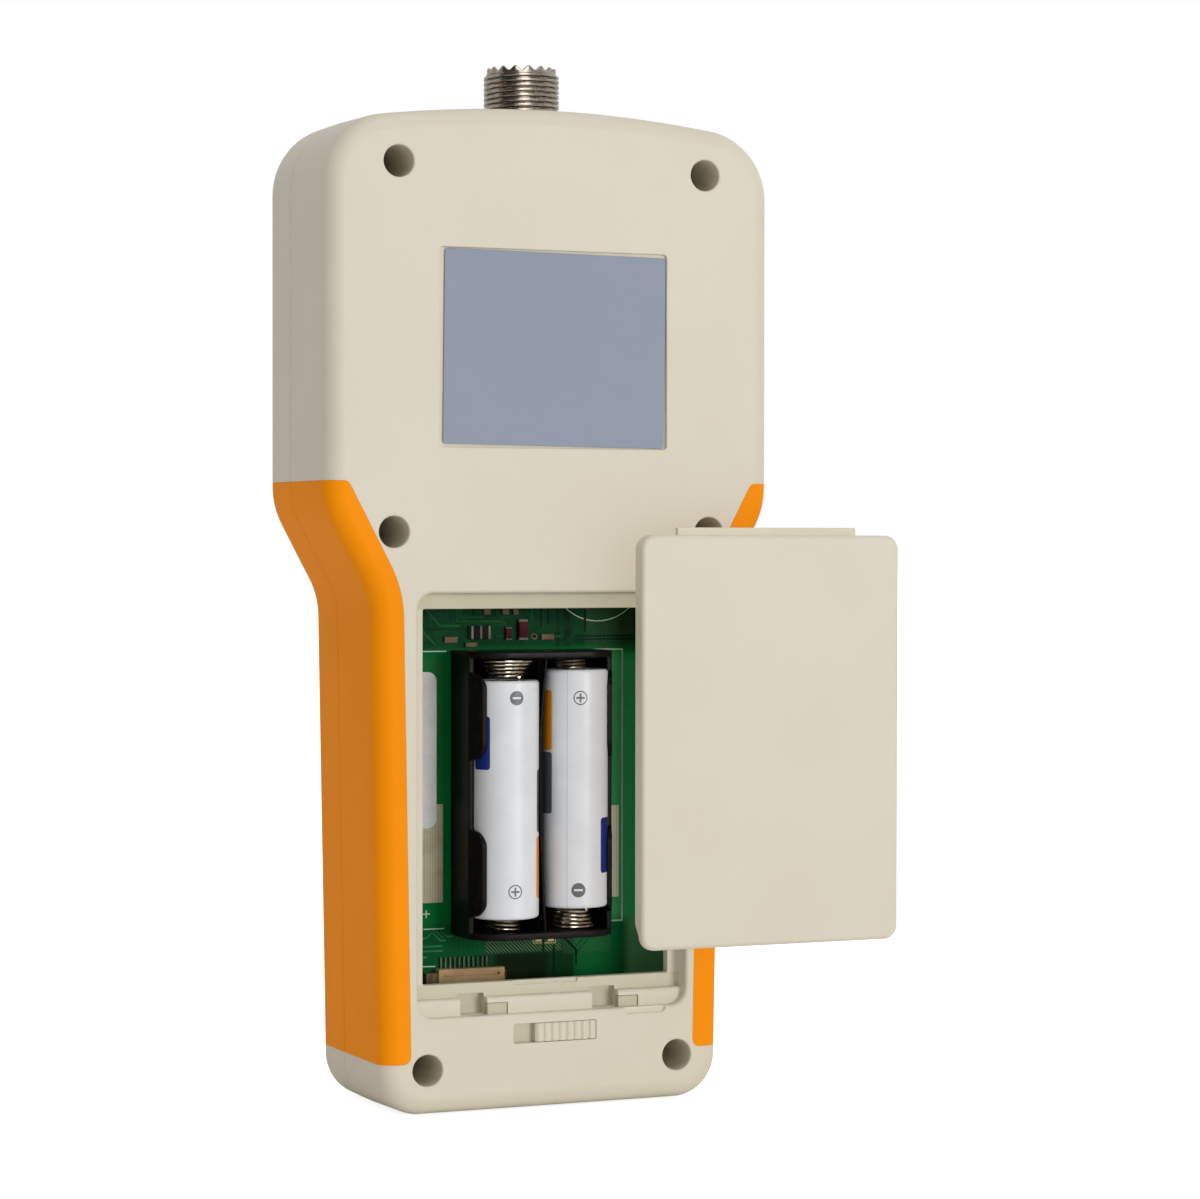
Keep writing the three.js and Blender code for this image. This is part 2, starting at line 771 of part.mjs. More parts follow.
function rearLabel() {
  const z0 = caseDepth - labelPocketDepth + stickerGap;
  const geometry = new THREE.ExtrudeGeometry(
    rectangle(0, 0, labelWidth, labelHeight, labelCornerRadius),
    { depth: labelThickness, bevelEnabled: false, steps: 1 },
  );
  geometry.rotateZ(labelTurn);
  geometry.translate(labelShiftX, labelPocketY, z0);
  return toSolid(geometry);
}

// Pan head screw, head towards the rear, with a six-sided drive recess
function caseScrew() {
  const head = screwHeadDiameter / 2;
  const shank = screwShankDiameter / 2;
  const profile = [
    new THREE.Vector2(0, -screwLength + fitGap),
    new THREE.Vector2(0.6 * shank, -screwLength + fitGap),
    new THREE.Vector2(shank, -screwLength + fitGap + shank),
    new THREE.Vector2(shank, 0),
    new THREE.Vector2(head, 0),
    new THREE.Vector2(head, 0.5 * screwHeadHeight),
    new THREE.Vector2(0.75 * head, screwHeadHeight),
    new THREE.Vector2(0, screwHeadHeight),
  ];
  const body = new THREE.LatheGeometry(profile, smallRoundSides);
  body.rotateX(Math.PI / 2);
  const bottom = screwHeadHeight - screwRecessDepth;
  const recess = rod(screwRecessDiameter, 0, 0, bottom, screwHeadHeight + cutOverrun, screwRecessSides);
  return toSolid(body).subtract(recess);
}

// Board: follows the case outline inside the walls, with a clear hole round each screw post
function mainBoard() {
  const outline = filletedOutline(caseCorners, wallThickness + boardEdgeGap);
  let body = prism(outline, boardFront, boardRear);
  const keep = block(
    -headHalfWidth, headHalfWidth,
    boardBottom, boardTop,
    boardFront - cutOverrun, boardRear + cutOverrun,
  );
  body = body.intersect(keep);
  const clear = wellDiameter + 2 * wellWall + 2 * fitGap + boardEdgeGap;
  const holes = bothSides(screwPlaces).map((place) => (
    rod(clear, place.x, place.y, boardFront - cutOverrun, boardRear + cutOverrun)
  ));
  return cutAll(body, holes);
}

// Battery holder
const holderBase = boardRear + fitGap;
const cellAxisZ = holderBase + holderLift + holderFloor + cellDiameter / 2 + cellClearance;
const cellPlaces = [holderX - cellSpacing / 2, holderX + cellSpacing / 2];
const channelRadius = cellDiameter / 2 + cellClearance;
const holderHalf = cellSpacing / 2 + channelRadius + holderWall;

// Cross-section of the holder: straight sides up to the cell axis, then drawn in over the cells
function holderSection() {
  const radius = channelRadius + holderWall;
  const shape = [];
  const top = Math.asin(Math.min(holderRim / radius, 1));
  const steps = arcSteps(radius, top, arcSag);
  const side = (sign) => {
    const arc = [];
    for (let k = 0; k <= steps; k += 1) {
      const angle = (top * k) / steps;
      const x = holderX + sign * (cellSpacing / 2 + radius * Math.cos(angle));
      arc.push(new THREE.Vector2(x, cellAxisZ + radius * Math.sin(angle)));
    }
    return arc;
  };
  shape.push(new THREE.Vector2(holderX - holderHalf, holderBase));
  shape.push(new THREE.Vector2(holderX + holderHalf, holderBase));
  shape.push(...side(1));
  shape.push(...side(-1).reverse());
  return new THREE.Shape(shape);
}

function batteryHolder() {
  let body = fromProfile(holderSection(), holderBottom, holderTop);
  const inner0 = holderBottom + holderEndWall;
  const inner1 = holderTop - holderEndWall;
  const rimZ = cellAxisZ + holderRim;
  cellPlaces.forEach((x) => {
    const length = inner1 - inner0;
    const channel = new THREE.CylinderGeometry(channelRadius, channelRadius, length, fineRoundSides);
    channel.translate(x, (inner0 + inner1) / 2, cellAxisZ);
    body = body.subtract(toSolid(channel));
  });
  const clearHalf = cellSpacing / 2 + cellDiameter / 2 + 0.5 * cellClearance;
  body = body.subtract(block(
    holderX - clearHalf, holderX + clearHalf, inner0, inner1, cellAxisZ + dividerRise, rimZ + cutOverrun,
  ));
  cellPlaces.forEach((x) => {
    const half = cellDiameter / 2 + 0.5 * cellClearance;
    body = body.subtract(block(x - half, x + half, inner0, inner1, cellAxisZ, rimZ + cutOverrun));
  });
  const low = cellAxisZ + lowWallRise;
  const lowerLobe = holderBottom + lobeEndGap;
  const upperLobe = holderTop - lobeEndGap - lobeLength;
  const gaps = [
    [inner0, lowerLobe],
    [lowerLobe + lobeLength, upperLobe],
    [upperLobe + lobeLength, inner1],
  ];
  gaps.forEach(([y0, y1]) => {
    [-1, 1].forEach((sign) => {
      const inner = holderX + sign * (clearHalf - fitGap);
      const outer = holderX + sign * (holderHalf + cutOverrun);
      const left = Math.min(inner, outer);
      const right = Math.max(inner, outer);
      body = body.subtract(block(left, right, y0, y1, low, rimZ + cutOverrun));
    });
  });
  const foot = block(
    holderX - holderHalf + 2 * holderWall, holderX + holderHalf - 2 * holderWall,
    holderBottom + 2 * holderEndWall, holderTop - 2 * holderEndWall,
    holderBase - cutOverrun, holderBase + holderLift,
  );
  return body.subtract(foot);
}

// Cell along y: sleeve with rounded shoulders, button at the positive end (up when side is 1)
function cell(side) {
  const radius = cellDiameter / 2;
  const button = cellButtonDiameter / 2;
  const profile = [
    new THREE.Vector2(0, 0),
    new THREE.Vector2(radius - cellCrimp, 0),
    new THREE.Vector2(radius, cellCrimp),
    new THREE.Vector2(radius, cellBody - cellCrimp),
    new THREE.Vector2(radius - cellCrimp, cellBody),
    new THREE.Vector2(button, cellBody),
    new THREE.Vector2(0.9 * button, cellBody + cellButton),
    new THREE.Vector2(0, cellBody + cellButton),
  ];
  const geometry = new THREE.LatheGeometry(profile, fineRoundSides);
  if (side < 0) {
    geometry.rotateX(Math.PI);
    geometry.translate(0, cellBody, 0);
  }
  return toSolid(geometry);
}

// Coil spring along y from y0 (wide end, on the holder wall) to y1 (narrow end, at the cell)
class CoilPath extends THREE.Curve {
  constructor(x, z, y0, y1, wide, narrow, turns) {
    super();
    Object.assign(this, { x, z, y0, y1, wide, narrow, turns });
  }

  getPoint(t, target = new THREE.Vector3()) {
    const angle = t * this.turns * 2 * Math.PI;
    const radius = this.wide + (this.narrow - this.wide) * t;
    return target.set(
      this.x + radius * Math.cos(angle),
      this.y0 + (this.y1 - this.y0) * t,
      this.z + radius * Math.sin(angle),
    );
  }
}

// One unbroken tube: rings of a round section carried along points, closed at both ends
function tubeAlong(points, radius, sides) {
  const positions = [];
  const indices = [];
  const up = new THREE.Vector3(0, 1, 0);
  const normal = new THREE.Vector3();
  const binormal = new THREE.Vector3();
  points.forEach((point, i) => {
    const before = points[Math.max(i - 1, 0)];
    const after = points[Math.min(i + 1, points.length - 1)];
    const tangent = after.clone().sub(before).normalize();
    if (i === 0) {
      const upright = Math.abs(tangent.dot(up)) > 0.9;
      normal.crossVectors(tangent, upright ? new THREE.Vector3(1, 0, 0) : up).normalize();
    }
    normal.addScaledVector(tangent, -normal.dot(tangent)).normalize();
    binormal.crossVectors(tangent, normal);
    for (let k = 0; k < sides; k += 1) {
      const angle = (2 * Math.PI * k) / sides;
      const ring = point.clone()
        .addScaledVector(normal, radius * Math.cos(angle))
        .addScaledVector(binormal, radius * Math.sin(angle));
      positions.push(ring.x, ring.y, ring.z);
    }
  });
  for (let i = 0; i < points.length - 1; i += 1) {
    for (let k = 0; k < sides; k += 1) {
      const a = i * sides + k;
      const b = i * sides + ((k + 1) % sides);
      indices.push(a, b, a + sides, b, b + sides, a + sides);
    }
  }
  const last = (points.length - 1) * sides;
  for (let k = 1; k < sides - 1; k += 1) {
    indices.push(0, k + 1, k);
    indices.push(last, last + k, last + k + 1);
  }
  const geometry = new THREE.BufferGeometry();
  geometry.setAttribute('position', new THREE.Float32BufferAttribute(positions, 3));
  geometry.setIndex(indices);
  return geometry;
}

// Least gap between one turn and the next, measured on the path's own points
function leastGap(points) {
  let least = Infinity;
  const skip = springTurnSteps * 0.6;
  for (let i = 0; i < points.length; i += 1) {
    for (let k = Math.ceil(i + skip); k < points.length; k += 1) {
      least = Math.min(least, points[i].distanceTo(points[k]) - springWire);
    }
  }
  return least;
}

function contactSpring(name, x, y0, y1, { wide, narrow, turns }) {
  const away = Math.sign(y1 - y0);
  const start = y0 + away * springWire;
  const end = y1 - away * springWire;
  const path = new CoilPath(x, cellAxisZ, start, end, wide, narrow, turns);
  const points = path.getPoints(springTurnSteps * turns);
  const gap = leastGap(points);
  console.log(`${name}: least gap between turns ${gap.toFixed(2)} mm, wanted over ${springLeast} mm`);
  const first = points[0].clone().setY(y0);
  const last = points[points.length - 1].clone().setY(y1);
  return toSolid(tubeAlong([first, ...points, last], springWire / 2, springSides));
}

// Cable connector on the board, its pins fused to the housing
function keypadConnector() {
  const z0 = boardRear + fitGap;
  const left = connectorX - connectorWidth / 2;
  const right = connectorX + connectorWidth / 2;
  const top = connectorBottom + connectorHeight;
  let body = block(left, right, connectorBottom, top, z0, z0 + connectorThick);
  const slot = block(
    connectorX - cableWidth / 2 - fitGap, connectorX + cableWidth / 2 + fitGap,
    connectorBottom - cutOverrun, connectorBottom + 0.6 * connectorHeight,
    z0 + 0.3 * connectorThick, z0 + 0.3 * connectorThick + cableThickness + 2 * fitGap,
  );
  body = body.subtract(slot);
  for (let i = 0; i < connectorPins; i += 1) {
    const x = connectorX + (i - (connectorPins - 1) / 2) * connectorPinPitch - connectorPinPitch;
    const half = connectorPinWidth / 2;
    body = body.add(block(
      x - half, x + half, top - connectorPinWidth, top + connectorPinReach, z0, z0 + 2 * connectorPinWidth,
    ));
  }
  return body;
}

// Flat cable from the connector round the foot of the board to the key board
function keypadCable() {
  const z = boardRear + fitGap + 0.3 * connectorThick + fitGap;
  const half = cableThickness / 2;
  const turnY = boardBottom - 3 * fitGap - cableThickness;
  const keyboardRear = keyboardFront + keyboardThickness;
  const endZ = keyboardRear + 3 * fitGap;
  const outer = [
    new THREE.Vector2(connectorBottom + 0.5 * connectorHeight, z + half),
    new THREE.Vector2(turnY + cableThickness, z + half),
    new THREE.Vector2(turnY - half, z - cableThickness),
    new THREE.Vector2(turnY - half, endZ + cableThickness),
    new THREE.Vector2(turnY + cableThickness, endZ - half),
    new THREE.Vector2(keyBottomRow, endZ - half),
  ];
  const inner = [
    new THREE.Vector2(keyBottomRow, endZ + half),
    new THREE.Vector2(turnY + 1.5 * cableThickness, endZ + half),
    new THREE.Vector2(turnY + half, endZ + 1.5 * cableThickness),
    new THREE.Vector2(turnY + half, z - 1.5 * cableThickness),
    new THREE.Vector2(turnY + 1.5 * cableThickness, z - half),
    new THREE.Vector2(connectorBottom + 0.5 * connectorHeight, z - half),
  ];
  const shape = new THREE.Shape([...outer, ...inner]);
  const geometry = new THREE.ExtrudeGeometry(shape, { depth: cableWidth, bevelEnabled: false, steps: 1 });
  const turned = new THREE.Matrix4().makeBasis(
    new THREE.Vector3(0, 1, 0), new THREE.Vector3(0, 0, 1), new THREE.Vector3(1, 0, 0),
  );
  geometry.applyMatrix4(turned);
  geometry.translate(connectorX - cableWidth / 2, 0, 0);
  return toSolid(geometry);
}

function boardSticker() {
  const z0 = boardRear + stickerGap;
  const shape = rectangle(
    stickerRight - stickerWidth / 2, stickerBottom + stickerHeight / 2,
    stickerWidth, stickerHeight, stickerCornerRadius,
  );
  return prism(shape, z0, z0 + stickerThickness);
}

// Coaxial socket: turned shell with flange, bore and toothed rim
const socketFlangeTop = crownHeight - wallThickness - fitGap;
const socketRim = crownHeight + socketRise;
const socketBoreFloor = socketRim - socketBoreDepth;

function socketShell() {
  const thread = socketThreadDiameter / 2;
  const bore = socketBoreDiameter / 2;
  const flange = socketFlangeDiameter / 2;
  const low = socketFlangeTop - socketFlangeThickness;
  const seat = socketBoreFloor - insulatorThickness - fitGap;
  const narrow = bore - 2 * fitGap;
  const inside = socketFlangeTop - socketFlangeThickness - socketTail;
  const profile = [
    new THREE.Vector2(narrow, inside),
    new THREE.Vector2(narrow + wallThickness / 2, inside),
    new THREE.Vector2(narrow + wallThickness / 2, low),
    new THREE.Vector2(flange, low),
    new THREE.Vector2(flange, socketFlangeTop),
    new THREE.Vector2(thread, socketFlangeTop),
    new THREE.Vector2(thread, socketRim),
    new THREE.Vector2(bore, socketRim),
    new THREE.Vector2(bore, seat),
    new THREE.Vector2(narrow, seat),
    new THREE.Vector2(narrow, inside),
  ];
  const geometry = new THREE.LatheGeometry(profile, fineRoundSides);
  geometry.translate(0, 0, caseDepth / 2);
  let body = toSolid(geometry);
  for (let i = 0; i < socketCrownTeeth / 2; i += 1) {
    const width = (Math.PI * bore) / socketCrownTeeth;
    const notch = new THREE.Shape([
      new THREE.Vector2(0, socketRim - socketCrownDepth),
      new THREE.Vector2(width / 2, socketRim),
      new THREE.Vector2(width / 2, socketRim + cutOverrun),
      new THREE.Vector2(-width / 2, socketRim + cutOverrun),
      new THREE.Vector2(-width / 2, socketRim),
    ]);
    const span = socketThreadDiameter + cutOverrun;
    const cutter = new THREE.ExtrudeGeometry(notch, { depth: span, bevelEnabled: false, steps: 1 });
    cutter.translate(0, 0, -span / 2);
    cutter.rotateY((Math.PI * 2 * i) / socketCrownTeeth);
    cutter.translate(0, 0, caseDepth / 2);
    body = body.subtract(toSolid(cutter));
  }
  return body;
}

function socketInsulator() {
  const outer = socketBoreDiameter / 2 - fitGap;
  const hole = socketPinDiameter / 2 + fitGap;
  const top = socketBoreFloor;
  const low = top - insulatorThickness;
  const profile = [
    new THREE.Vector2(hole, low),
    new THREE.Vector2(outer, low),
    new THREE.Vector2(outer, top),
    new THREE.Vector2(hole, top),
    new THREE.Vector2(hole, low),
  ];
  const geometry = new THREE.LatheGeometry(profile, fineRoundSides);
  geometry.translate(0, 0, caseDepth / 2);
  return toSolid(geometry);
}

function socketPin() {
  const outer = socketPinDiameter / 2;
  const bore = socketPinBore / 2;
  const tail = socketTailDiameter / 2;
  const top = socketBoreFloor + socketPinRise;
  const shoulder = socketBoreFloor - insulatorThickness - fitGap;
  const end = socketFlangeTop - socketFlangeThickness - socketTail - fitGap;
  const profile = [
    new THREE.Vector2(0, end),
    new THREE.Vector2(tail, end),
    new THREE.Vector2(tail, shoulder),
    new THREE.Vector2(outer, shoulder),
    new THREE.Vector2(outer, top),
    new THREE.Vector2(bore, top),
    new THREE.Vector2(bore, socketBoreFloor - insulatorThickness / 2),
    new THREE.Vector2(0, socketBoreFloor - insulatorThickness / 2),
  ];
  const geometry = new THREE.LatheGeometry(profile, roundSides);
  geometry.translate(0, 0, caseDepth / 2);
  return toSolid(geometry);
}

// Display: lens in its seat, module behind the wall
function displayLens() {
  const shape = rectangle(0, displayY, displayWidth, displayHeight, wallThickness - fitGap);
  return prism(shape, 0, lensThickness);
}

function displayModule() {
  const width = displayWidth + 2 * displayPanelBorder - 2 * displayOpeningBorder;
  const height = displayHeight + 2 * displayPanelBorder - 2 * displayOpeningBorder;
  const z0 = wallThickness + fitGap;
  const outline = rectangle(0, displayY, width, height, displayPanelBorder / 2);
  const body = prism(outline, z0, z0 + displayPanelThickness);
  const glass = prism(
    rectangle(0, displayY, width - 2 * displayPanelBorder, height - 2 * displayPanelBorder, 0),
    z0 - cutOverrun, z0 + fitGap,
  );
  return body.subtract(glass);
}

// Closed body through level outlines with equal point counts, from the front to the rear
function stackedOutlines(levels) {
  const count = levels[0].points.length;
  const positions = levels.flatMap(({ points, z }) => points.flatMap((point) => [point.x, point.y, z]));
  const indices = [];
  for (let level = 0; level < levels.length - 1; level += 1) {
    for (let k = 0; k < count; k += 1) {
      const a = level * count + k;
      const b = level * count + ((k + 1) % count);
      indices.push(a, a + count, b, b, a + count, b + count);
    }
  }
  const rearStart = (levels.length - 1) * count;
  for (let k = 1; k < count - 1; k += 1) {
    indices.push(0, k, k + 1);
    indices.push(rearStart, rearStart + k + 1, rearStart + k);
  }
  const geometry = new THREE.BufferGeometry();
  geometry.setAttribute('position', new THREE.Float32BufferAttribute(positions, 3));
  geometry.setIndex(indices.reverse());
  return toSolid(geometry);
}

// Key: crowned cap standing proud of the case front, with a flange behind the wall
function keyCap() {
  const points = (inset) => rectangle(0, 0, keyWidth, keyHeight, keyCornerRadius, inset).getPoints();
  const flangeFront = wallThickness + fitGap;
  return stackedOutlines([
    { points: points(keyCrown), z: -keyProud },
    { points: points(0), z: keyCrown - keyProud },
    { points: points(0), z: flangeFront },
    { points: points(-keyFlange), z: flangeFront },
    { points: points(-keyFlange), z: flangeFront + keyFlangeThickness },
  ]);
}

const keyRear = wallThickness + fitGap + keyFlangeThickness;
const keyboardFront = keyRear + keyTravel + fitGap;

// Key board behind the keys, resting on the posts of the front shell
function keyBoard() {
  const width = (keyColumns - 1) * keyPitchX + keyWidth + 2 * keyboardBorder;
  const height = (keyRows - 1) * keyPitchY + keyHeight + 2 * keyboardBorder;
  const y = keyBottomRow + ((keyRows - 1) * keyPitchY) / 2;
  const outline = rectangle(0, y, width, height, keyboardBorder);
  const body = prism(outline, keyboardFront, keyboardFront + keyboardThickness);
  const clear = bothSides([...screwPlaces, ...standoffPlaces]).map((place) => (
    rod(wellDiameter + wellWall + 2 * fitGap, place.x, place.y, 0, caseDepth)
  ));
  return cutAll(body, clear);
}

function dataSocket() {
  const z1 = boardFront - fitGap;
  const z0 = z1 - dataSocketHeight;
  const left = dataSocketX - dataSocketWidth / 2;
  const right = dataSocketX + dataSocketWidth / 2;
  const wall = dataSocketWall;
  const y0 = fitGap;
  const y1 = y0 + dataSocketDepth + boardBottom / 2;
  const mouth = block(left + wall, right - wall, -cutOverrun, dataSocketDepth, z0 + wall, z1 - wall);
  const tongueZ = (z0 + z1) / 2;
  const tongue = block(
    left + 3 * wall, right - 3 * wall,
    2 * wall, dataSocketDepth + wall,
    tongueZ - wall / 2, tongueZ + wall / 2,
  );
  return block(left, right, y0, y1, z0, z1).subtract(mouth).add(tongue);
}

// Assembly
const analyzer = new THREE.Group();
analyzer.rotation.x = Math.PI / 2;
analyzer.position.y = caseDepth / 2;

function addPiece(name, solid, material, x = 0, y = 0, z = 0) {
  const mesh = new THREE.Mesh(toGeometry(solid), material);
  mesh.name = name;
  mesh.position.set(x, y, z);
  analyzer.add(mesh);
}

addPiece('rear_shell', rearShell(), beigePlastic);
addPiece('front_shell', frontShell(), beigePlastic);
addPiece('rear_grip_left', gripPiece(-1, rearHalf), orangeRubber);
addPiece('rear_grip_right', gripPiece(1, rearHalf), orangeRubber);
addPiece('front_grip_left', gripPiece(-1, frontHalf), orangeRubber);
addPiece('front_grip_right', gripPiece(1, frontHalf), orangeRubber);
addPiece('battery_cover', batteryCover(), beigePlastic, coverOff.x, coverOff.y, coverOff.z);
addPiece('cover_latch', coverLatch(), beigePlastic);
addPiece('rear_label', rearLabel(), greyLabel);
bothSides(screwPlaces).forEach((place, i) => {
  addPiece(`case_screw_${i + 1}`, caseScrew(), steel, place.x, place.y, wellFloorZ + fitGap);
});
addPiece('main_board', mainBoard(), boardGreen);
addPiece('battery_holder', batteryHolder(), blackPlastic);
addPiece('battery_cell_left', cell(-1), whiteSleeve, cellPlaces[0], cellLeftBottom, cellAxisZ);
addPiece('battery_cell_right', cell(1), whiteSleeve, cellPlaces[1], cellRightBottom, cellAxisZ);

const wallTop = holderTop - holderEndWall - springPlateGap;
const wallBottom = holderBottom + holderEndWall + springPlateGap;
const cellLeftTop = cellLeftBottom + cellBody;
const cellRightTop = cellRightBottom + cellBody + cellButton;
const cellLeftFoot = cellLeftBottom - cellButton;
const springs = [
  ['minus_spring_left', cellPlaces[0], wallTop, cellLeftTop + springCellGap, minusSpringLeft],
  ['plus_spring_left', cellPlaces[0], wallBottom, cellLeftFoot - springCellGap, plusSpringLeft],
  ['plus_spring_right', cellPlaces[1], wallTop, cellRightTop + springCellGap, plusSpringRight],
  ['minus_spring_right', cellPlaces[1], wallBottom, cellRightBottom - springCellGap, minusSpringRight],
];
springs.forEach((spring) => addPiece(spring[0], contactSpring(...spring), brass));

addPiece('keypad_connector', keypadConnector(), tanPlastic);
addPiece('keypad_cable', keypadCable(), cableWhite);
addPiece('board_sticker', boardSticker(), paperWhite);
addPiece('rf_socket_shell', socketShell(), nickel);
addPiece('rf_socket_insulator', socketInsulator(), whiteInsulator);
addPiece('rf_socket_contact', socketPin(), brass);
addPiece('display_window', displayLens(), darkGlass);
addPiece('display_module', displayModule(), blackPlastic);
addPiece('key_board', keyBoard(), boardGreen);
keyCentres().forEach(({ x, y, row, column }) => {
  addPiece(`key_${keyRows - row}_${column + 1}`, keyCap(), keyRubber, x, y, 0);
});
addPiece('data_socket', dataSocket(), steel);

export default analyzer;
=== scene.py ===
# Antenna analyzer on its base, seen from behind, with the battery cover lifted off.
import math
import bpy
import numpy as np
from mathutils import Matrix, Vector


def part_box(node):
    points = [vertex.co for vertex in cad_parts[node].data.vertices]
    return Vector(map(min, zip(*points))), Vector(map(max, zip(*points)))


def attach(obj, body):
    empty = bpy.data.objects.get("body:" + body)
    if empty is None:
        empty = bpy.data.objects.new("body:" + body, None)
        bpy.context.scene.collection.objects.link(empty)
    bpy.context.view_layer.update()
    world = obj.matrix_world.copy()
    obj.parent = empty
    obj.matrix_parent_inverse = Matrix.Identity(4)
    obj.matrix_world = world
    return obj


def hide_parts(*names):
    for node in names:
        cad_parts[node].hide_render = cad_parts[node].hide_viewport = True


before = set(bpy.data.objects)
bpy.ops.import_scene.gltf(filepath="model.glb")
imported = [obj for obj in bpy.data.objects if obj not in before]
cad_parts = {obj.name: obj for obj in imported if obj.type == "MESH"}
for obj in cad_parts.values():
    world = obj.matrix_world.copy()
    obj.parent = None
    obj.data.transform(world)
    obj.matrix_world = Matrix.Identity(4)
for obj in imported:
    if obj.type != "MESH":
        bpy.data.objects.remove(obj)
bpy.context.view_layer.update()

print("frame loaded")

# Lengths below are millimetres in the case's own frame: x to the right seen from behind,
# y up from the base, z from the front face to the rear face.
mm = 0.001
halfDepth = -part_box("rear_shell")[0].y / mm
caseDepth = 2 * halfDepth


def toRow(points):
    # case frame in mm -> the shared frame in metres: (x, half depth - z, y)
    p = np.asarray(points, float)
    return np.stack([p[..., 0], halfDepth - p[..., 2], p[..., 1]], -1) * mm


def fromRow(places):
    row = np.asarray(places, float) / mm
    return np.stack([row[:, 0], row[:, 2], halfDepth - row[:, 1]], 1)


def boxOf(node):
    # lowest and highest corner of a frame node, in the case frame
    corners = fromRow([tuple(corner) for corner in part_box(node)])
    return corners.min(0), corners.max(0)


def middleOf(node):
    return sum(boxOf(node)) / 2


# Forms: a form is (points, faces), kept in the case frame until it becomes a mesh


def ringsForm(rings, closed=False):
    # rings of equal length, each closed on itself, joined row to row; capped at both ends unless closed
    rings = np.asarray(rings, float)
    rows, columns = rings.shape[:2]
    row = np.arange(rows if closed else rows - 1)[:, None] * columns
    nextRow = (row + columns) % (rows * columns)
    column = np.arange(columns)
    nextColumn = (column + 1) % columns
    quads = [row + column, row + nextColumn, nextRow + nextColumn, nextRow + column]
    faces = np.stack(quads, -1).reshape(-1, 4).tolist()
    if not closed:
        faces += [list(range(columns - 1, -1, -1)), list(range((rows - 1) * columns, rows * columns))]
    return rings.reshape(-1, 3), faces


def joinForms(forms):
    faces, offset = [], 0
    for points, corners in forms:
        faces += [[offset + corner for corner in face] for face in corners]
        offset += len(points)
    return np.concatenate([points for points, _ in forms]), faces


def moved(form, shift):
    return form[0] + np.asarray(shift, float), form[1]


def mirrored(form):
    # the other side of the case; its faces run the other way round to keep pointing out
    return form[0] * np.array([-1, 1, 1]), [face[::-1] for face in form[1]]


def stoodUp(form, depth=0.0):
    # a form drawn along z is carried up the case instead: (x, y, z) -> (x, z, depth - y)
    points, faces = form
    return np.column_stack([points[:, 0], points[:, 2], depth - points[:, 1]]), faces


def filletOutline(corners, inset, steps):
    # corners are rows of x, y and fillet radius, anticlockwise. Each side moves inwards by the inset,
    # and each corner is the arc between its tangent points, whose radius follows the inset.
    corners = np.asarray(corners, float)
    place, radius = corners[:, :2], corners[:, 2]
    along = np.roll(place, -1, 0) - place
    along /= np.linalg.norm(along, axis=1, keepdims=True)
    start = place + np.stack([-along[:, 1], along[:, 0]], 1) * inset
    before, beforeStart = np.roll(along, 1, 0), np.roll(start, 1, 0)
    cross = before[:, 0] * along[:, 1] - before[:, 1] * along[:, 0]
    turn = np.arctan2(cross, (before * along).sum(1))
    gap = start - beforeStart
    reach = (gap[:, 0] * along[:, 1] - gap[:, 1] * along[:, 0]) / cross
    bend = np.sign(turn)
    arc = np.maximum(radius - bend * inset, 0.02)
    first = beforeStart + before * reach[:, None] - before * (arc * np.tan(np.abs(turn) / 2))[:, None]
    centre = first + np.stack([-before[:, 1], before[:, 0]], 1) * (bend * arc)[:, None]
    spoke = first - centre
    angle = turn[:, None] * np.linspace(0, 1, steps + 1)[None, :]
    x = centre[:, :1] + spoke[:, :1] * np.cos(angle) - spoke[:, 1:] * np.sin(angle)
    y = centre[:, 1:] + spoke[:, :1] * np.sin(angle) + spoke[:, 1:] * np.cos(angle)
    return np.stack([x, y], -1).reshape(-1, 2)


def rectangleCorners(x0, x1, y0, y1, radius):
    return [(x0, y0, radius), (x1, y0, radius), (x1, y1, radius), (x0, y1, radius)]


def centred(x, y, halfX, halfY, corner):
    return rectangleCorners(x - halfX, x + halfX, y - halfY, y + halfY, corner)


def quarter(radius, steps):
    # inset and rise of a rounded edge: radius (1 - sin a), radius (1 - cos a); one row where it is sharp
    angle = np.radians(np.linspace(0, 90, steps + 1 if radius else 1))
    return radius * (1 - np.sin(angle)), radius * (1 - np.cos(angle))


def edgeRows(front, rear, frontRadius, rearRadius, steps, draft=0.0, draftFrom=None):
    # inset and depth from the front face to the rear face, with both edges rounded and the side drawn in
    # by the draft between draftFrom and the rear face
    inset, rise = quarter(frontRadius, steps)
    rows = list(zip(inset, front + rise))
    if draftFrom is not None:
        rows.append((0.0, draftFrom))
    inset, rise = quarter(rearRadius, steps)
    return rows + list(zip(draft + inset[::-1], rear - rise[::-1]))


def flareRows(mouth, flare, past=3.0):
    # a mouth that curves outwards: inset = -flare (1 - cos a), depth = flare sin a, and straight on past it
    angle = np.radians(np.linspace(0, 80, 7))
    rows = list(zip(-flare * (1 - np.cos(angle)), mouth - flare + flare * np.sin(angle)))
    return rows + [(-flare, mouth + 0.1 * flare), (-flare, mouth + past)]


def stacked(corners, rows, steps):
    # an outline drawn in by each row's inset and set at the row's depth
    flats = [(filletOutline(corners, inset, steps), depth) for inset, depth in rows]
    return ringsForm([np.column_stack([flat, np.full(len(flat), depth)]) for flat, depth in flats])


def block(corners, front, rear, frontRadius=0.0, rearRadius=0.0, inset=0.0, steps=8, edge=6, **taper):
    # an outline carried from front to rear, with rounded edges
    rows = edgeRows(front, rear, frontRadius, rearRadius, edge, **taper)
    return stacked(corners, [(inset + step, depth) for step, depth in rows], steps)


def plate(area, front, rear, *edges, **more):
    # a block on a rectangle given as x from and to, y from and to, and corner radius
    return block(rectangleCorners(*area), front, rear, *edges, **more)


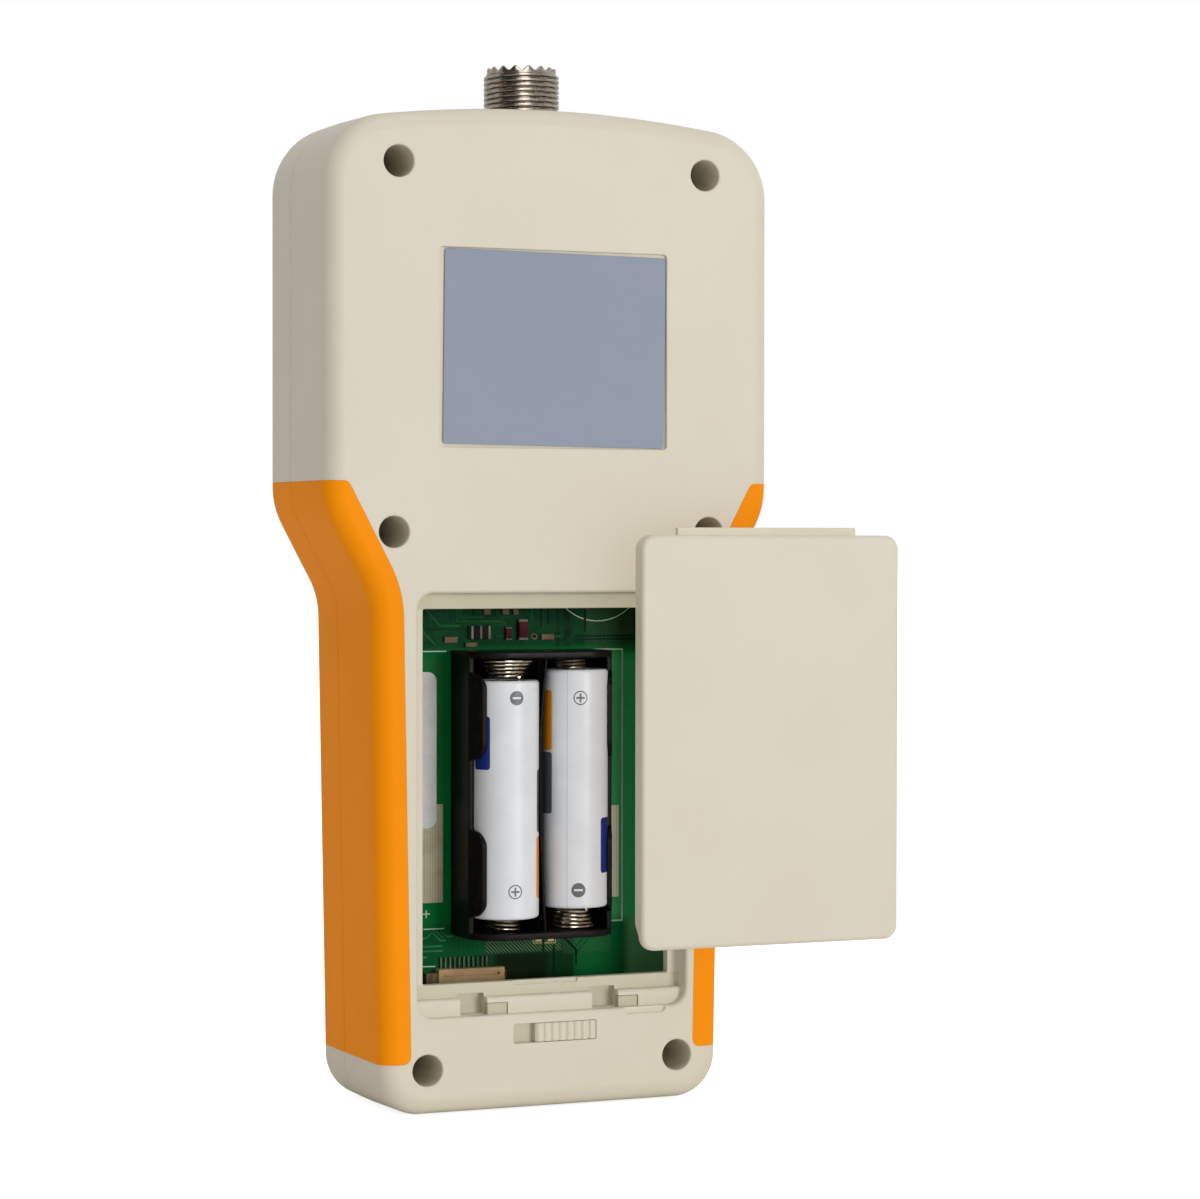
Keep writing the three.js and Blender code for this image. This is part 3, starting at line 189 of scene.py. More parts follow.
def plateOf(node, corner, *edges, **more):
    # a plate that fills a node's box
    low, high = boxOf(node)
    return plate((low[0], high[0], low[1], high[1], corner), low[2], high[2], *edges, **more)


def bar(x0, x1, y0, y1, z0, z1, edge=0.15):
    # a plate with finely rounded upright corners and rims
    return plate((x0, x1, y0, y1, edge), z0, z1, edge, edge, steps=3, edge=3)


def flaredCutter(corners, floor, mouth, flare, past=3.0, floorRadius=0.0):
    # a pocket with a flared mouth and a rounded foot
    inset, rise = quarter(floorRadius, 4)
    return stacked(corners, list(zip(inset, floor + rise)) + flareRows(mouth, flare, past), 8)


def turned(profile, x, y, sides=48, closed=False):
    # a profile of radius and depth turned about a line along z through x, y
    angle = np.linspace(0, 2 * np.pi, sides, endpoint=False)
    profile = np.asarray(profile, float)
    radius, depth = profile[:, :1], np.broadcast_to(profile[:, 1:], (len(profile), sides))
    return ringsForm(np.stack([x + radius * np.cos(angle), y + radius * np.sin(angle), depth], -1), closed)


def turnedUpright(profile, x, z, sides=48, closed=False):
    # a profile of radius and height turned about a line along y through x, z
    return stoodUp(turned(profile, x, 0, sides, closed), z)


def disc(x, y, radius, low, high, sides=32):
    return turned([(0.01, low), (radius, low), (radius, high), (0.01, high)], x, y, sides)


def upright(radius, x, y0, y1, z, sides=64):
    return turnedUpright([(radius, y0), (radius, y1)], x, z, sides)


def ridge(profile, x0, x1):
    # a closed profile of y and z, anticlockwise seen from the right, run along x
    profile = np.asarray(profile, float)
    ring = np.column_stack([np.zeros(len(profile)), profile])
    return ringsForm([ring + [x0, 0, 0], ring + [x1, 0, 0]])


# Meshes from forms


def placesOf(mesh):
    places = np.empty(len(mesh.vertices) * 3)
    mesh.vertices.foreach_get("co", places)
    return places.reshape(-1, 3)


def volumeOf(mesh):
    # signed volume: the sum of a . (b x c) / 6 over its triangles, negative where the faces point inwards
    mesh.calc_loop_triangles()
    corners = np.empty(len(mesh.loop_triangles) * 3, int)
    mesh.loop_triangles.foreach_get("vertices", corners)
    a, b, c = np.moveaxis(placesOf(mesh)[corners.reshape(-1, 3)], 1, 0)
    return (a * np.cross(b, c)).sum() / 6


def addObject(name, data):
    made = bpy.data.objects.new(name, data)
    bpy.context.scene.collection.objects.link(made)
    return made


def looseObject(name, form):
    mesh = bpy.data.meshes.new(name)
    mesh.from_pydata(toRow(form[0]).tolist(), [], form[1])
    mesh.update()
    if volumeOf(mesh) < 0:
        mesh.flip_normals()
    return addObject(name, mesh)


def finalMesh(made):
    bpy.context.view_layer.update()
    return bpy.data.meshes.new_from_object(made.evaluated_get(bpy.context.evaluated_depsgraph_get()))


def carve(form, steps):
    # joins and cuts a form with others in turn: each step is "+", "-" or "&" and a form
    whole = looseObject("carving", form)
    tools = [looseObject("tool", other) for _, other in steps]
    for (sign, _), tool in zip(steps, tools):
        step = whole.modifiers.new("step", "BOOLEAN")
        step.operation = {"+": "UNION", "-": "DIFFERENCE", "&": "INTERSECT"}[sign]
        step.solver, step.object = "MANIFOLD", tool
    mesh = finalMesh(whole)
    for made in [whole, *tools]:
        old = made.data
        bpy.data.objects.remove(made)
        bpy.data.meshes.remove(old)
    return mesh


def formOf(mesh):
    # a carved mesh back to a form in the case frame
    return fromRow(placesOf(mesh)), [list(polygon.vertices) for polygon in mesh.polygons]


def smoothPiece(name, body, source, material, node=None, sharp=35.0, weighted=True):
    # a finished piece from a form or a carved mesh, smooth shaded with its sharp edges kept
    made = looseObject(name, source) if isinstance(source, tuple) else addObject(name, source)
    mesh = made.data
    mesh.name = name
    mesh.materials.clear()
    mesh.materials.append(material)
    mesh.polygons.foreach_set("use_smooth", np.ones(len(mesh.polygons), bool))
    mesh.set_sharp_from_angle(angle=math.radians(sharp))
    if weighted:
        normals = made.modifiers.new("faces first", "WEIGHTED_NORMAL")
        normals.keep_sharp, normals.weight = True, 60
    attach(made, body)
    if node:
        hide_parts(node)
    return made


# Shader maths: a socket that can be written with + - * / and compared


class Value:
    def __init__(self, tree, socket):
        self.tree, self.socket = tree, socket

    def maths(self, operation, *others):
        return addMaths(self.tree, operation, self, *others)

    def __add__(self, other): return self.maths("ADD", other)
    def __sub__(self, other): return self.maths("SUBTRACT", other)
    def __mul__(self, other): return self.maths("MULTIPLY", other)
    def __gt__(self, other): return self.maths("GREATER_THAN", other)
    def __lt__(self, other): return self.maths("LESS_THAN", other)
    def __neg__(self): return self.maths("MULTIPLY", -1.0)
    def __abs__(self): return self.maths("ABSOLUTE")
    def __radd__(self, other): return self.maths("ADD", other)
    def __rmul__(self, other): return self.maths("MULTIPLY", other)
    def __rsub__(self, other): return addMaths(self.tree, "SUBTRACT", other, self)
    def largest(self, other): return self.maths("MAXIMUM", other)
    def modulo(self, other): return self.maths("FLOORED_MODULO", other)
    def root(self): return self.maths("SQRT")

    def ramp(self, low, high):
        # 0 below low, 1 above high, smooth between
        sockets = {"Value": self, "From Min": low, "From Max": high}
        return addNode(self.tree, "ShaderNodeMapRange", {"interpolation_type": "SMOOTHSTEP"}, sockets)


def addNode(tree, kind, settings=None, sockets=None, out=0):
    node = tree.nodes.new(kind)
    for key, setting in (settings or {}).items():
        setattr(node, key, setting)
    for key, value in (sockets or {}).items():
        if isinstance(value, Value):
            tree.links.new(value.socket, node.inputs[key])
        else:
            node.inputs[key].default_value = value
    return Value(tree, node.outputs[out])


def addMaths(tree, operation, *terms):
    return addNode(tree, "ShaderNodeMath", {"operation": operation}, dict(enumerate(terms)))


def splitUp(tree, vector):
    # the separate values of a vector
    outputs = addNode(tree, "ShaderNodeSeparateXYZ", None, {0: vector}).socket.node.outputs
    return [Value(tree, output) for output in outputs]


def paint(red, green, blue, alpha=1.0):
    # a colour as it reads on screen, 0 to 255, to the renderer's own linear values
    values = np.array([red, green, blue]) / 255
    linear = np.where(values <= 0.04045, values / 12.92, ((values + 0.055) / 1.055) ** 2.4)
    return (*linear.tolist(), alpha)


class Finish:
    # a material being made: the shader, its tree and the place on the object in millimetres
    def __init__(self, name, **fixed):
        self.material = bpy.data.materials.new(name)
        self.material.use_nodes = True
        self.tree = self.material.node_tree
        self.shader = self.tree.nodes["Principled BSDF"]
        self.feed(**fixed)

    def node(self, kind, settings=None, sockets=None, out=0):
        return addNode(self.tree, kind, settings, sockets, out)

    def place(self):
        return self.node("ShaderNodeTexCoord", None, None, 3)

    def axes(self):
        # row frame x, y and z in millimetres
        return [value * 1000.0 for value in splitUp(self.tree, self.place())]

    def noise(self, perMetre, detail=2.0, roughness=0.5):
        sockets = {"Vector": self.place(), "Scale": perMetre, "Detail": detail, "Roughness": roughness}
        return self.node("ShaderNodeTexNoise", None, sockets)

    def mix(self, factor, first, second):
        return self.node("ShaderNodeMix", {"data_type": "RGBA"}, {"Factor": factor, 6: first, 7: second}, 2)

    def feed(self, **links):
        for key, value in links.items():
            socket = self.shader.inputs[key.replace("_", " ")]
            if isinstance(value, Value):
                self.tree.links.new(value.socket, socket)
            else:
                socket.default_value = value

    def bump(self, height, strength, distance):
        sockets = {"Strength": strength, "Distance": distance, "Height": height}
        self.feed(Normal=self.node("ShaderNodeBump", None, sockets))


def speckled(name, colour, shade, roughness, grain=5200.0, shadeMask=None, **fixed):
    # moulded plastic: fine eroded grain, a slow drift of colour and of gloss, and painted shade where a shade
    # mask is given
    finish = Finish(name, **fixed)
    drift = finish.noise(38.0, 3.0).ramp(0.35, 0.65)
    base = finish.mix(drift, paint(*colour), paint(*shade))
    if shadeMask:
        base = finish.mix(shadeMask(*finish.axes()), base, paint(*paintedShadeColour))
    finish.feed(Base_Color=base)
    grains = finish.noise(grain, 2.0, 0.6)
    finish.feed(Roughness=roughness - 0.025 + 0.05 * grains)
    finish.bump(grains, 0.35, 0.00003)
    return finish.material


def plain(name, colour, shade, roughness, reflection=0.5, scale=300.0, **fixed):
    # an even surface with a slight drift of colour and of gloss
    finish = Finish(name, Specular_IOR_Level=reflection, **fixed)
    drift = finish.noise(scale, 3.0).ramp(0.3, 0.7)
    base = finish.mix(drift, paint(*colour), paint(*shade))
    finish.feed(Base_Color=base, Roughness=roughness + 0.06 * drift)
    return finish.material


def metal(name, colour, dark, roughness, scale=900.0, depth=0.00002):
    # plated or turned metal with a little tarnish and fine tool marks
    finish = Finish(name, Metallic=1.0)
    tarnish = finish.noise(scale, 4.0, 0.65).ramp(0.4, 0.75)
    finish.feed(Base_Color=finish.mix(tarnish * 0.7, paint(*colour), paint(*dark)))
    marks = finish.noise(scale * 6, 2.0, 0.6)
    finish.feed(Roughness=roughness + 0.18 * marks)
    finish.bump(marks, 0.3, depth)
    return finish.material


# the colour of the painted shade on the case plastics
paintedShadeColour = (194, 189, 160)


def casePlastic(name, shadeMask=None):
    return speckled(name, (219, 211, 192), (217, 209, 189), 0.45, shadeMask=shadeMask, Specular_IOR_Level=0.3)


beige = casePlastic("case plastic")
orange = speckled("grip rubber", (255, 150, 0), (252, 147, 0), 0.55, 3600.0, Specular_IOR_Level=0.08)
print("plastics ready")

# Case outline: the same driving sizes as the frame's shells, refined
caseShape = {
    "baseHalf": 38.1, "waistHalf": 40.0, "waistHeight": 105.9, "shoulderHeight": 124.7, "headHalf": 50.0,
    "crown": 207.0, "crownRadius": 274.0, "crownCorner": 15.0, "shoulderRadius": 17.0, "baseCorner": 9.5,
    "edge": 4.0, "wall": 2.5, "seam": 15.5, "seamGap": 0.14, "seamEdge": 0.25, "draft": 0.42,
}


def caseCorners():
    c = caseShape
    slope = math.atan((c["headHalf"] - c["crownCorner"]) / c["crownRadius"])
    apex = c["crown"] + c["crownRadius"] * (1 / math.cos(slope) - 1)
    half = [
        (c["baseHalf"], 0.0, c["baseCorner"]),
        (c["waistHalf"], c["waistHeight"], c["shoulderRadius"]),
        (c["headHalf"], c["shoulderHeight"], c["shoulderRadius"]),
        (c["headHalf"], apex - c["headHalf"] * math.tan(slope), c["crownCorner"]),
    ]
    return half + [(0.0, apex, c["crownRadius"])] + [(-x, y, r) for x, y, r in half[::-1]]


caseOutline = caseCorners()


def caseBlock(front, rear, frontRadius, rearRadius, inset=0.0, edge=10, **taper):
    return block(caseOutline, front, rear, frontRadius, rearRadius, inset, 16, edge, **taper)


def halfBlock(side):
    # one half of the case: from the seam, with a fine edge, to the outer face, with the wide one
    c = caseShape
    if side == "rear":
        return caseBlock(c["seam"] + c["seamGap"] / 2, caseDepth, c["seamEdge"], c["edge"], draft=c["draft"])
    return caseBlock(0.0, c["seam"] - c["seamGap"] / 2, c["edge"], c["seamEdge"])


def halfCavity(side):
    c, wall, radius = caseShape, caseShape["wall"], caseShape["edge"] - caseShape["wall"]
    if side == "rear":
        front, rear = c["seam"] - 3, caseDepth - wall
        return caseBlock(front, rear, 0, radius, wall, 6, draft=c["draft"], draftFrom=c["seam"])
    return caseBlock(wall, c["seam"] + 3, radius, 0, wall, 6)


def innerBlock(inset):
    c, radius = caseShape, caseShape["edge"] - inset
    return caseBlock(inset, caseDepth - inset, radius, radius, inset, draft=c["draft"], draftFrom=c["seam"])


# Grips let in flush: everything outside a line that follows the case outline
gripShape = {"border": 6.8, "depth": 1.2, "bottom": 11.2, "rise": 5.0, "corner": 1.7, "gap": 0.03}


def gripArea(grow):
    c, g = caseShape, gripShape
    slope = (c["headHalf"] - c["waistHalf"]) / (c["shoulderHeight"] - c["waistHeight"])
    slant = g["border"] * math.hypot(1, slope)
    taper = (c["waistHalf"] - c["baseHalf"]) / c["waistHeight"]
    top = c["shoulderHeight"] + g["rise"]
    topX = c["headHalf"] - (c["shoulderHeight"] - top) * slope - slant
    knee = c["waistHeight"] + (slant - g["border"]) / slope
    far = c["headHalf"] + 6
    corners = [
        (far, g["bottom"], 0.05), (far, top, 0.05), (topX, top, g["corner"]),
        (c["waistHalf"] - g["border"], knee, c["shoulderRadius"] + g["border"]),
        (c["baseHalf"] + g["bottom"] * taper - g["border"], g["bottom"], g["corner"]),
    ]
    return block(corners, -4, caseDepth + 4, inset=-grow, steps=24)


def gripForm(half):
    # right-hand grip of one half: the case surface, as thick as the grip, within the grip's line
    return carve(halfBlock(half), [("-", innerBlock(gripShape["depth"])), ("&", gripArea(0.0))])


def pocketForm():
    gap = gripShape["gap"]
    shell = block(caseOutline, -3, caseDepth + 3, inset=-3, steps=16)
    return formOf(carve(shell, [("-", innerBlock(gripShape["depth"] + gap)), ("&", gripArea(gap))]))


rightPocket = pocketForm()
gripPockets = [("-", rightPocket), ("-", mirrored(rightPocket))]

# Screw wells
wellShape = {
    "places": [(34.16, 194.3), (35.15, 119.35), (27.9, 9.7)],
    "radius": 3.25, "tube": 4.75, "floor": 18.45, "flare": 0.35, "pass": 1.8,
}
wellPlaces = [(sign * x, y) for x, y in wellShape["places"] for sign in (-1, 1)]


def wellTubes():
    c, tube = caseShape, wellShape["tube"]
    profile = [(tube, c["seam"] + c["seamGap"] / 2), (tube, caseDepth - c["wall"] / 2)]
    return joinForms([turned(profile, x, y) for x, y in wellPlaces])


def wellHoles():
    w = wellShape
    mouth = [(w["radius"] - inset, depth) for inset, depth in flareRows(caseDepth, w["flare"])]
    profile = [(w["pass"], caseShape["seam"] - 2), (w["pass"], w["floor"]), (w["radius"], w["floor"]), *mouth]
    return joinForms([turned(profile, x, y, 64) for x, y in wellPlaces])


# Label field, recess, bar, window, notches and the latch's slot
labelShape = {"halfX": 25.35, "halfY": 20.35, "y": 157.0, "depth": 0.7, "corner": 0.8, "edge": 0.25}
recessShape = {
    "half": 30.0, "bottom": 20.25, "top": 106.9, "depth": 4.0, "corner": 3.4, "rim": 0.7, "ledge": 2.0,
    "windowHalf": 27.5, "windowBottom": 26.6, "windowTop": 103.6, "windowCorner": 0.4, "windowEdge": 0.3,
    "through": 6.0,
}
barShape = {"top": 23.75, "height": 2.0, "edge": 0.8}
notchShape = {"places": [-17.08, 12.35], "width": 5.95, "top": 24.5, "depth": 1.6}
fingerShape = {"width": 4.4, "thickness": 1.0, "top": 22.5, "travel": 4.4, "gap": 0.3, "slit": 0.08}
lipShape = {"x": -0.4, "half": 7.3, "height": 0.9, "depth": 0.4}
pryShape = {"x": 20.5, "half": 4.7, "height": 1.3, "inside": 1.2, "depth": 0.6, "corner": 0.9}
slotShape = {
    "left": -9.05, "right": 9.5, "bottom": 14.1, "top": 18.15, "corner": 0.35, "edge": 0.12, "floor": 2.0,
    "through": 5.0,
}
tongueSlot = {"half": 21, "below": 0.3, "above": 4, "depth": 1.8}
socketHole = {"radius": 8.24, "below": 8, "above": 4}

ledge = caseDepth - recessShape["depth"]
barRear = ledge + barShape["height"]
fingerRear = barRear - 0.5 * fingerShape["thickness"] + fingerShape["gap"]
fingerFront = fingerRear - fingerShape["thickness"]
fingerPlaces = [
    x + notchShape["width"] / 2 + fingerShape["slit"] + fingerShape["width"] / 2 for x in notchShape["places"]
]
latchRear = caseDepth - caseShape["wall"] + 0.7  # rear end of the pocket that the latch's plate slides in


def trayCorners(grow=0.0):
    r = recessShape
    half = r["half"] + grow
    return rectangleCorners(-half, half, r["bottom"] - grow, r["top"] + grow, r["corner"] + grow)


def recessSteps():
    # a tray let into the wall, its raised bar and its window; then for each finger of the latch a notch, a
    # seat and the way it slides; last the lip under the window and the mark to pry at
    r, b, n, f, lip, pry = recessShape, barShape, notchShape, fingerShape, lipShape, pryShape
    window = (-r["windowHalf"], r["windowHalf"], r["windowBottom"], r["windowTop"], r["windowCorner"])
    section = filletOutline(rectangleCorners(r["bottom"] - 1, b["top"], ledge - 1, barRear, b["edge"]), 0, 5)
    steps = [
        ("+", block(trayCorners(r["ledge"]), ledge - r["ledge"], caseDepth - 1)),
        ("-", flaredCutter(trayCorners(), ledge, caseDepth, r["rim"], floorRadius=0.25)),
        ("+", ridge(section, -r["half"] - 1, r["half"] + 1)),
        ("-", flaredCutter(rectangleCorners(*window), ledge - r["through"], ledge, r["windowEdge"], past=6)),
    ]
    foot, deep, past = r["bottom"] + 0.02, fingerFront - f["gap"], caseDepth + 0.5
    half, reach = n["width"] / 2, f["width"] / 2 + f["slit"]
    for x, finger in zip(n["places"], fingerPlaces):
        right = finger + reach
        steps += [("-", plate(*cut)) for cut in (
            ((x - half, x + half, foot, n["top"], 0.3), ledge - n["depth"], past),
            ((x, right, foot, f["top"] + f["slit"], 0.3), deep, past),
            ((finger - reach - f["travel"], right, r["bottom"] - 6, r["bottom"] + 1, 0.1), deep,
             fingerRear + f["gap"]),
        )]
    area = (lip["x"] - lip["half"], lip["x"] + lip["half"], window[2] - lip["height"], window[2] + 2, 0.3)
    steps.append(("-", plate(area, ledge - lip["depth"], caseDepth + 1)))
    x, half, rim = pry["x"], pry["half"], r["bottom"]
    area = (x - half, x + half, rim - pry["height"], rim + pry["inside"], pry["corner"])
    steps.append(("-", flaredCutter(rectangleCorners(*area), caseDepth - pry["depth"], caseDepth, 0.3)))
    return steps


def latchSlotSteps():
    s, f = slotShape, fingerShape
    corners = rectangleCorners(s["left"], s["right"], s["bottom"], s["top"], s["corner"])
    left = fingerPlaces[0] - f["width"] / 2 - f["travel"] - 2 * f["gap"]
    right = fingerPlaces[1] + f["width"] / 2 + 2 * f["gap"]
    bottom, top = boxOf("cover_latch")[0][1] - f["gap"], recessShape["bottom"] - recessShape["ledge"]
    return [("-", flaredCutter(corners, caseDepth - s["through"], caseDepth, s["edge"])),
            ("-", plate((left, right, bottom, top, 0.2), caseDepth - s["through"], latchRear))]


def socketBore():
    s, crown = socketHole, caseShape["crown"]
    return ("-", upright(s["radius"], 0, crown - s["below"], crown + s["above"], halfDepth))


def rearShell():
    l, t, top = labelShape, tongueSlot, recessShape["top"]
    label = centred(0, l["y"], l["halfX"], l["halfY"], l["corner"])
    tongue = (-t["half"], t["half"], top - t["below"], top + t["above"], 0.2)
    steps = [
        ("-", halfCavity("rear")), ("+", wellTubes()), *recessSteps(), *latchSlotSteps(), ("-", wellHoles()),
        ("-", flaredCutter(label, caseDepth - l["depth"], caseDepth, l["edge"], floorRadius=0.1)),
        ("-", plate(tongue, ledge, ledge + t["depth"])), socketBore(),
    ]
    return carve(halfBlock("rear"), steps + gripPockets)


def bayPaintedShade(x, y, z):
    # painted shade on the floors of the hook notches and on the strips above and below the window
    n, r = notchShape, recessShape
    deep = (y > halfDepth - ledge + 0.3) * (z > r["bottom"]) * (z < n["top"] + 0.3)
    notches = [abs(x - place) < n["width"] / 2 + 0.1 for place in n["places"]]
    floor = (y > halfDepth - ledge - 0.3) * (abs(x) < r["half"] + 0.5)
    above = floor * (z > r["windowTop"] - 0.1) * (z < r["top"] + 0.5) * 0.8
    below = floor * (z > r["bottom"] - 0.5) * (z < r["windowBottom"] + 0.1) * 0.5
    return (deep * notches[0].largest(notches[1]) * 0.5).largest(above).largest(below)


rearBeige = casePlastic("rear plastic", bayPaintedShade)
smoothPiece("rearShell", "case", rearShell(), rearBeige, "rear_shell")
print("rear shell ready")
for side in ("rear", "front"):
    right = formOf(gripForm(side))
    for hand, form in (("right", right), ("left", mirrored(right))):
        smoothPiece(f"{side}Grip_{hand}", "case", form, orange, f"{side}_grip_{hand}")
print("grips ready")

# Battery cover, made in its closed place and moved to where the frame holds it
coverShape = {
    "sideGap": 0.3, "endGap": 0.6, "footGap": 0.85, "slope": 3.0, "thickness": 1.7, "skirt": 1.5,
    "edge": 0.9, "corner": 3.0, "tongueHalf": 20.7, "tongueReach": 1.6, "tongueThickness": 1.2,
    "ribs": 4, "ribPitch": 17.0, "ribHalf": 0.6, "ribHeight": 1.0, "overlap": 0.8,
    "hookHalf": 2.5, "hookThickness": 1.3, "hookFoot": 0.9, "hookReach": 1.9,
}


def batteryCover():
    c, r = coverShape, recessShape
    half, bottom, top = r["half"] - c["sideGap"], r["bottom"] + c["footGap"], r["top"] - c["endGap"]
    front, inner, skirt = ledge + c["sideGap"], caseDepth - c["thickness"], c["skirt"]
    low, high = boxOf("battery_cover")
    shift = [(low[0] + high[0]) / 2, low[1] - bottom, high[2] - caseDepth]
    hollow = (-half + skirt, half - skirt, bottom + skirt, top - skirt, c["corner"] - skirt + 0.3)
    barTop = barShape["top"] + c["sideGap"]
    way = [(0, 10), (barTop + c["slope"], 10), (barTop + c["slope"], ledge), (barTop, inner), (0, inner)]
    steps = [("-", plate(hollow, 0, inner, 0, 0.4)), ("-", ridge(way, -half - 5, half + 5))]
    reach = c["tongueHalf"]
    bars = [(-reach, reach, top - skirt, top + c["tongueReach"], front, front + c["tongueThickness"], 0.3)]
    side, root = half - skirt / 2, inner + c["overlap"]
    for i in range(c["ribs"]):
        y = (bottom + top) / 2 + (i - (c["ribs"] - 1) / 2) * c["ribPitch"]
        bars.append((-side, side, y - c["ribHalf"], y + c["ribHalf"], inner - c["ribHeight"], root))
    hookLow, footRear = fingerShape["top"] + 2 * fingerShape["gap"], fingerFront - fingerShape["gap"]
    hookTop, footFront = hookLow + c["hookThickness"], footRear - c["hookFoot"]
    for x in notchShape["places"]:
        span = (x - c["hookHalf"], x + c["hookHalf"])
        bars += [(*span, hookLow, hookTop, footFront, root),
                 (*span, hookLow - c["hookReach"], hookTop, footFront, footRear)]
    steps += [("+", bar(*sides)) for sides in bars]
    body = plate((-half, half, bottom, top, c["corner"]), front, caseDepth, 0.3, c["edge"], steps=12, edge=8)
    return carve(moved(body, shift), [(sign, moved(form, shift)) for sign, form in steps])


smoothPiece("batteryCover", "battery_cover", batteryCover(), beige, "battery_cover")

# Latch: ribbed thumb piece, plate behind the wall, two fingers into the recess
latchShape = {
    "width": 13.5, "gap": 0.03, "ribs": 8, "perRib": 12, "ribDepth": 0.38, "ribShift": 0.08, "endFall": 0.15,
    "edge": 0.12, "root": 2.0, "plate": 1.5,
}


def latchThumb():
    # rings along x: a rounded section whose top falls by the rib depth times (2t - 1)^2 over each rib
    l, s = latchShape, slotShape
    right = s["right"] - l["gap"]
    left = right - l["width"]
    x = np.linspace(left, right, l["ribs"] * l["perRib"] + 1)
    t = ((x - left) / (l["width"] / l["ribs"]) - l["ribShift"]) % 1.0
    top = caseDepth - l["ribDepth"] * (2 * t ** 0.8 - 1) ** 2 - l["endFall"] * np.exp((left - x) / 0.2)
    rings = []
    for place, height in zip(x, top):
        area = (s["bottom"] + 0.1, s["top"] - 0.1, caseDepth - 4.0, height, l["edge"])
        ring = filletOutline(rectangleCorners(*area), 0, 3)
        rings.append(np.column_stack([np.full(len(ring), place), ring]))
    return ringsForm(rings)


def coverLatch():
    l, f, s = latchShape, fingerShape, slotShape
    low, half = boxOf("cover_latch")[0], f["width"] / 2
    top = recessShape["bottom"] - recessShape["ledge"] - f["gap"]
    bars = [
        (fingerPlaces[0] - half, fingerPlaces[1] + half, low[1], top, low[2], latchRear - l["plate"]),
        (s["left"] - 1.2, s["right"] - 1.0, s["bottom"] - 0.4, s["top"] + 0.05, low[2],
         caseDepth - s["floor"]),
    ]
    for x in fingerPlaces:
        bars.append((x - half, x + half, top - l["root"], f["top"], fingerFront, fingerRear, 0.25))
    return carve(latchThumb(), [("+", bar(*sides)) for sides in bars])


def latchPaintedShade(x, y, z):
    # painted shade on the fingers and on the floor of the slot
    return ((z > recessShape["bottom"] - 0.5) * 0.8).largest((y > halfDepth - caseDepth + 0.9) * 0.5)


latchBeige = casePlastic("latch plastic", latchPaintedShade)
smoothPiece("coverLatch", "cover_latch", coverLatch(), latchBeige, "cover_latch", sharp=40)
print("cover and latch ready")

# Label field: a bare printed film
fieldShape = {"halfX": 24.7, "halfY": 19.9, "shiftX": 0.35, "turn": -0.6, "corner": 0.7}


def labelFilm():
    finish = Finish("label film", Specular_IOR_Level=0.15)
    cloud = finish.noise(30.0, 4.0, 0.6).ramp(0.3, 0.7)
    fleck = finish.noise(1500.0, 2.0, 0.6)
    colour = finish.mix(cloud, paint(142, 150, 168), paint(139, 147, 164))
    finish.feed(Base_Color=finish.mix(fleck.ramp(0.55, 0.8) * 0.25, colour, paint(152, 161, 178)))
    finish.feed(Roughness=0.34 + 0.1 * fleck)
    finish.bump(fleck, 0.25, 0.00002)
    return finish.material


def rearLabel():
    f, (low, high) = fieldShape, boxOf("rear_label")
    flat = centred(0, 0, f["halfX"], f["halfY"], f["corner"])
    points, faces = block(flat, low[2], high[2], 0.05, 0.08, steps=6, edge=3)
    spun = (points[:, 0] + 1j * points[:, 1]) * np.exp(1j * math.radians(f["turn"]))
    return np.column_stack([spun.real + f["shiftX"], spun.imag + labelShape["y"], points[:, 2]]), faces


smoothPiece("labelField", "case", rearLabel(), labelFilm(), "rear_label")

nickel = metal("nickel plate", (176, 166, 154), (126, 115, 102), 0.12, 1500.0, 0.00005)
springWire = metal("spring wire", (236, 226, 208), (170, 146, 112), 0.14)
darkSteel = metal("dark steel", (92, 90, 88), (60, 58, 55), 0.3)
gold = metal("gilt pad", (184, 152, 94), (136, 102, 56), 0.3)
tinned = metal("tinned lead", (196, 194, 188), (120, 114, 106), 0.3)

# Case screws: pan head with a crossed recess
screwShape = {
    "head": 2.7, "headHeight": 2.0, "shank": 1.5, "slotHalf": 0.32, "slotReach": 1.5, "slotDepth": 1.2,
}


def caseScrew(low, high):
    s, head, shank = screwShape, screwShape["head"], screwShape["shank"]
    seat = high - s["headHeight"]
    profile = [(0.01, low), (0.6 * shank, low), (shank, low + shank), (shank, seat), (head, seat)]
    for a in np.radians(np.linspace(0, 90, 8)):
        rise = s["headHeight"] * (0.35 + 0.65 * math.sin(a))
        profile.append((head * (0.55 + 0.45 * math.cos(a)), seat + rise))
    arms = [(s["slotReach"], s["slotHalf"]), (s["slotHalf"], s["slotReach"])]
    cross = [("-", bar(-a, a, -b, b, high - s["slotDepth"], high + 1, 0.1)) for a, b in arms]
    return formOf(carve(turned([*profile, (0.01, high)], 0, 0), cross))


screwForm = caseScrew(*(corner[2] for corner in boxOf("case_screw_1")))
for number in range(1, 7):
    node = f"case_screw_{number}"
    form = moved(screwForm, middleOf(node) * [1, 1, 0])
    smoothPiece(f"caseScrew_{number}", "case", form, darkSteel, node)

# Coaxial socket: threaded barrel with a toothed rim, insulator and split centre contact
socketShape = {
    "crest": 7.94, "root": 7.3, "pitch": 1.058, "threadRows": 110, "teeth": 16, "toothDepth": 1.2,
    "crownHeight": 1.3, "turn": -1.6, "flange": 10.0, "flangeThickness": 2.5, "bore": 6.45, "narrow": 5.85,
    "sleeve": 1.25, "seatDepth": 11.4,
}


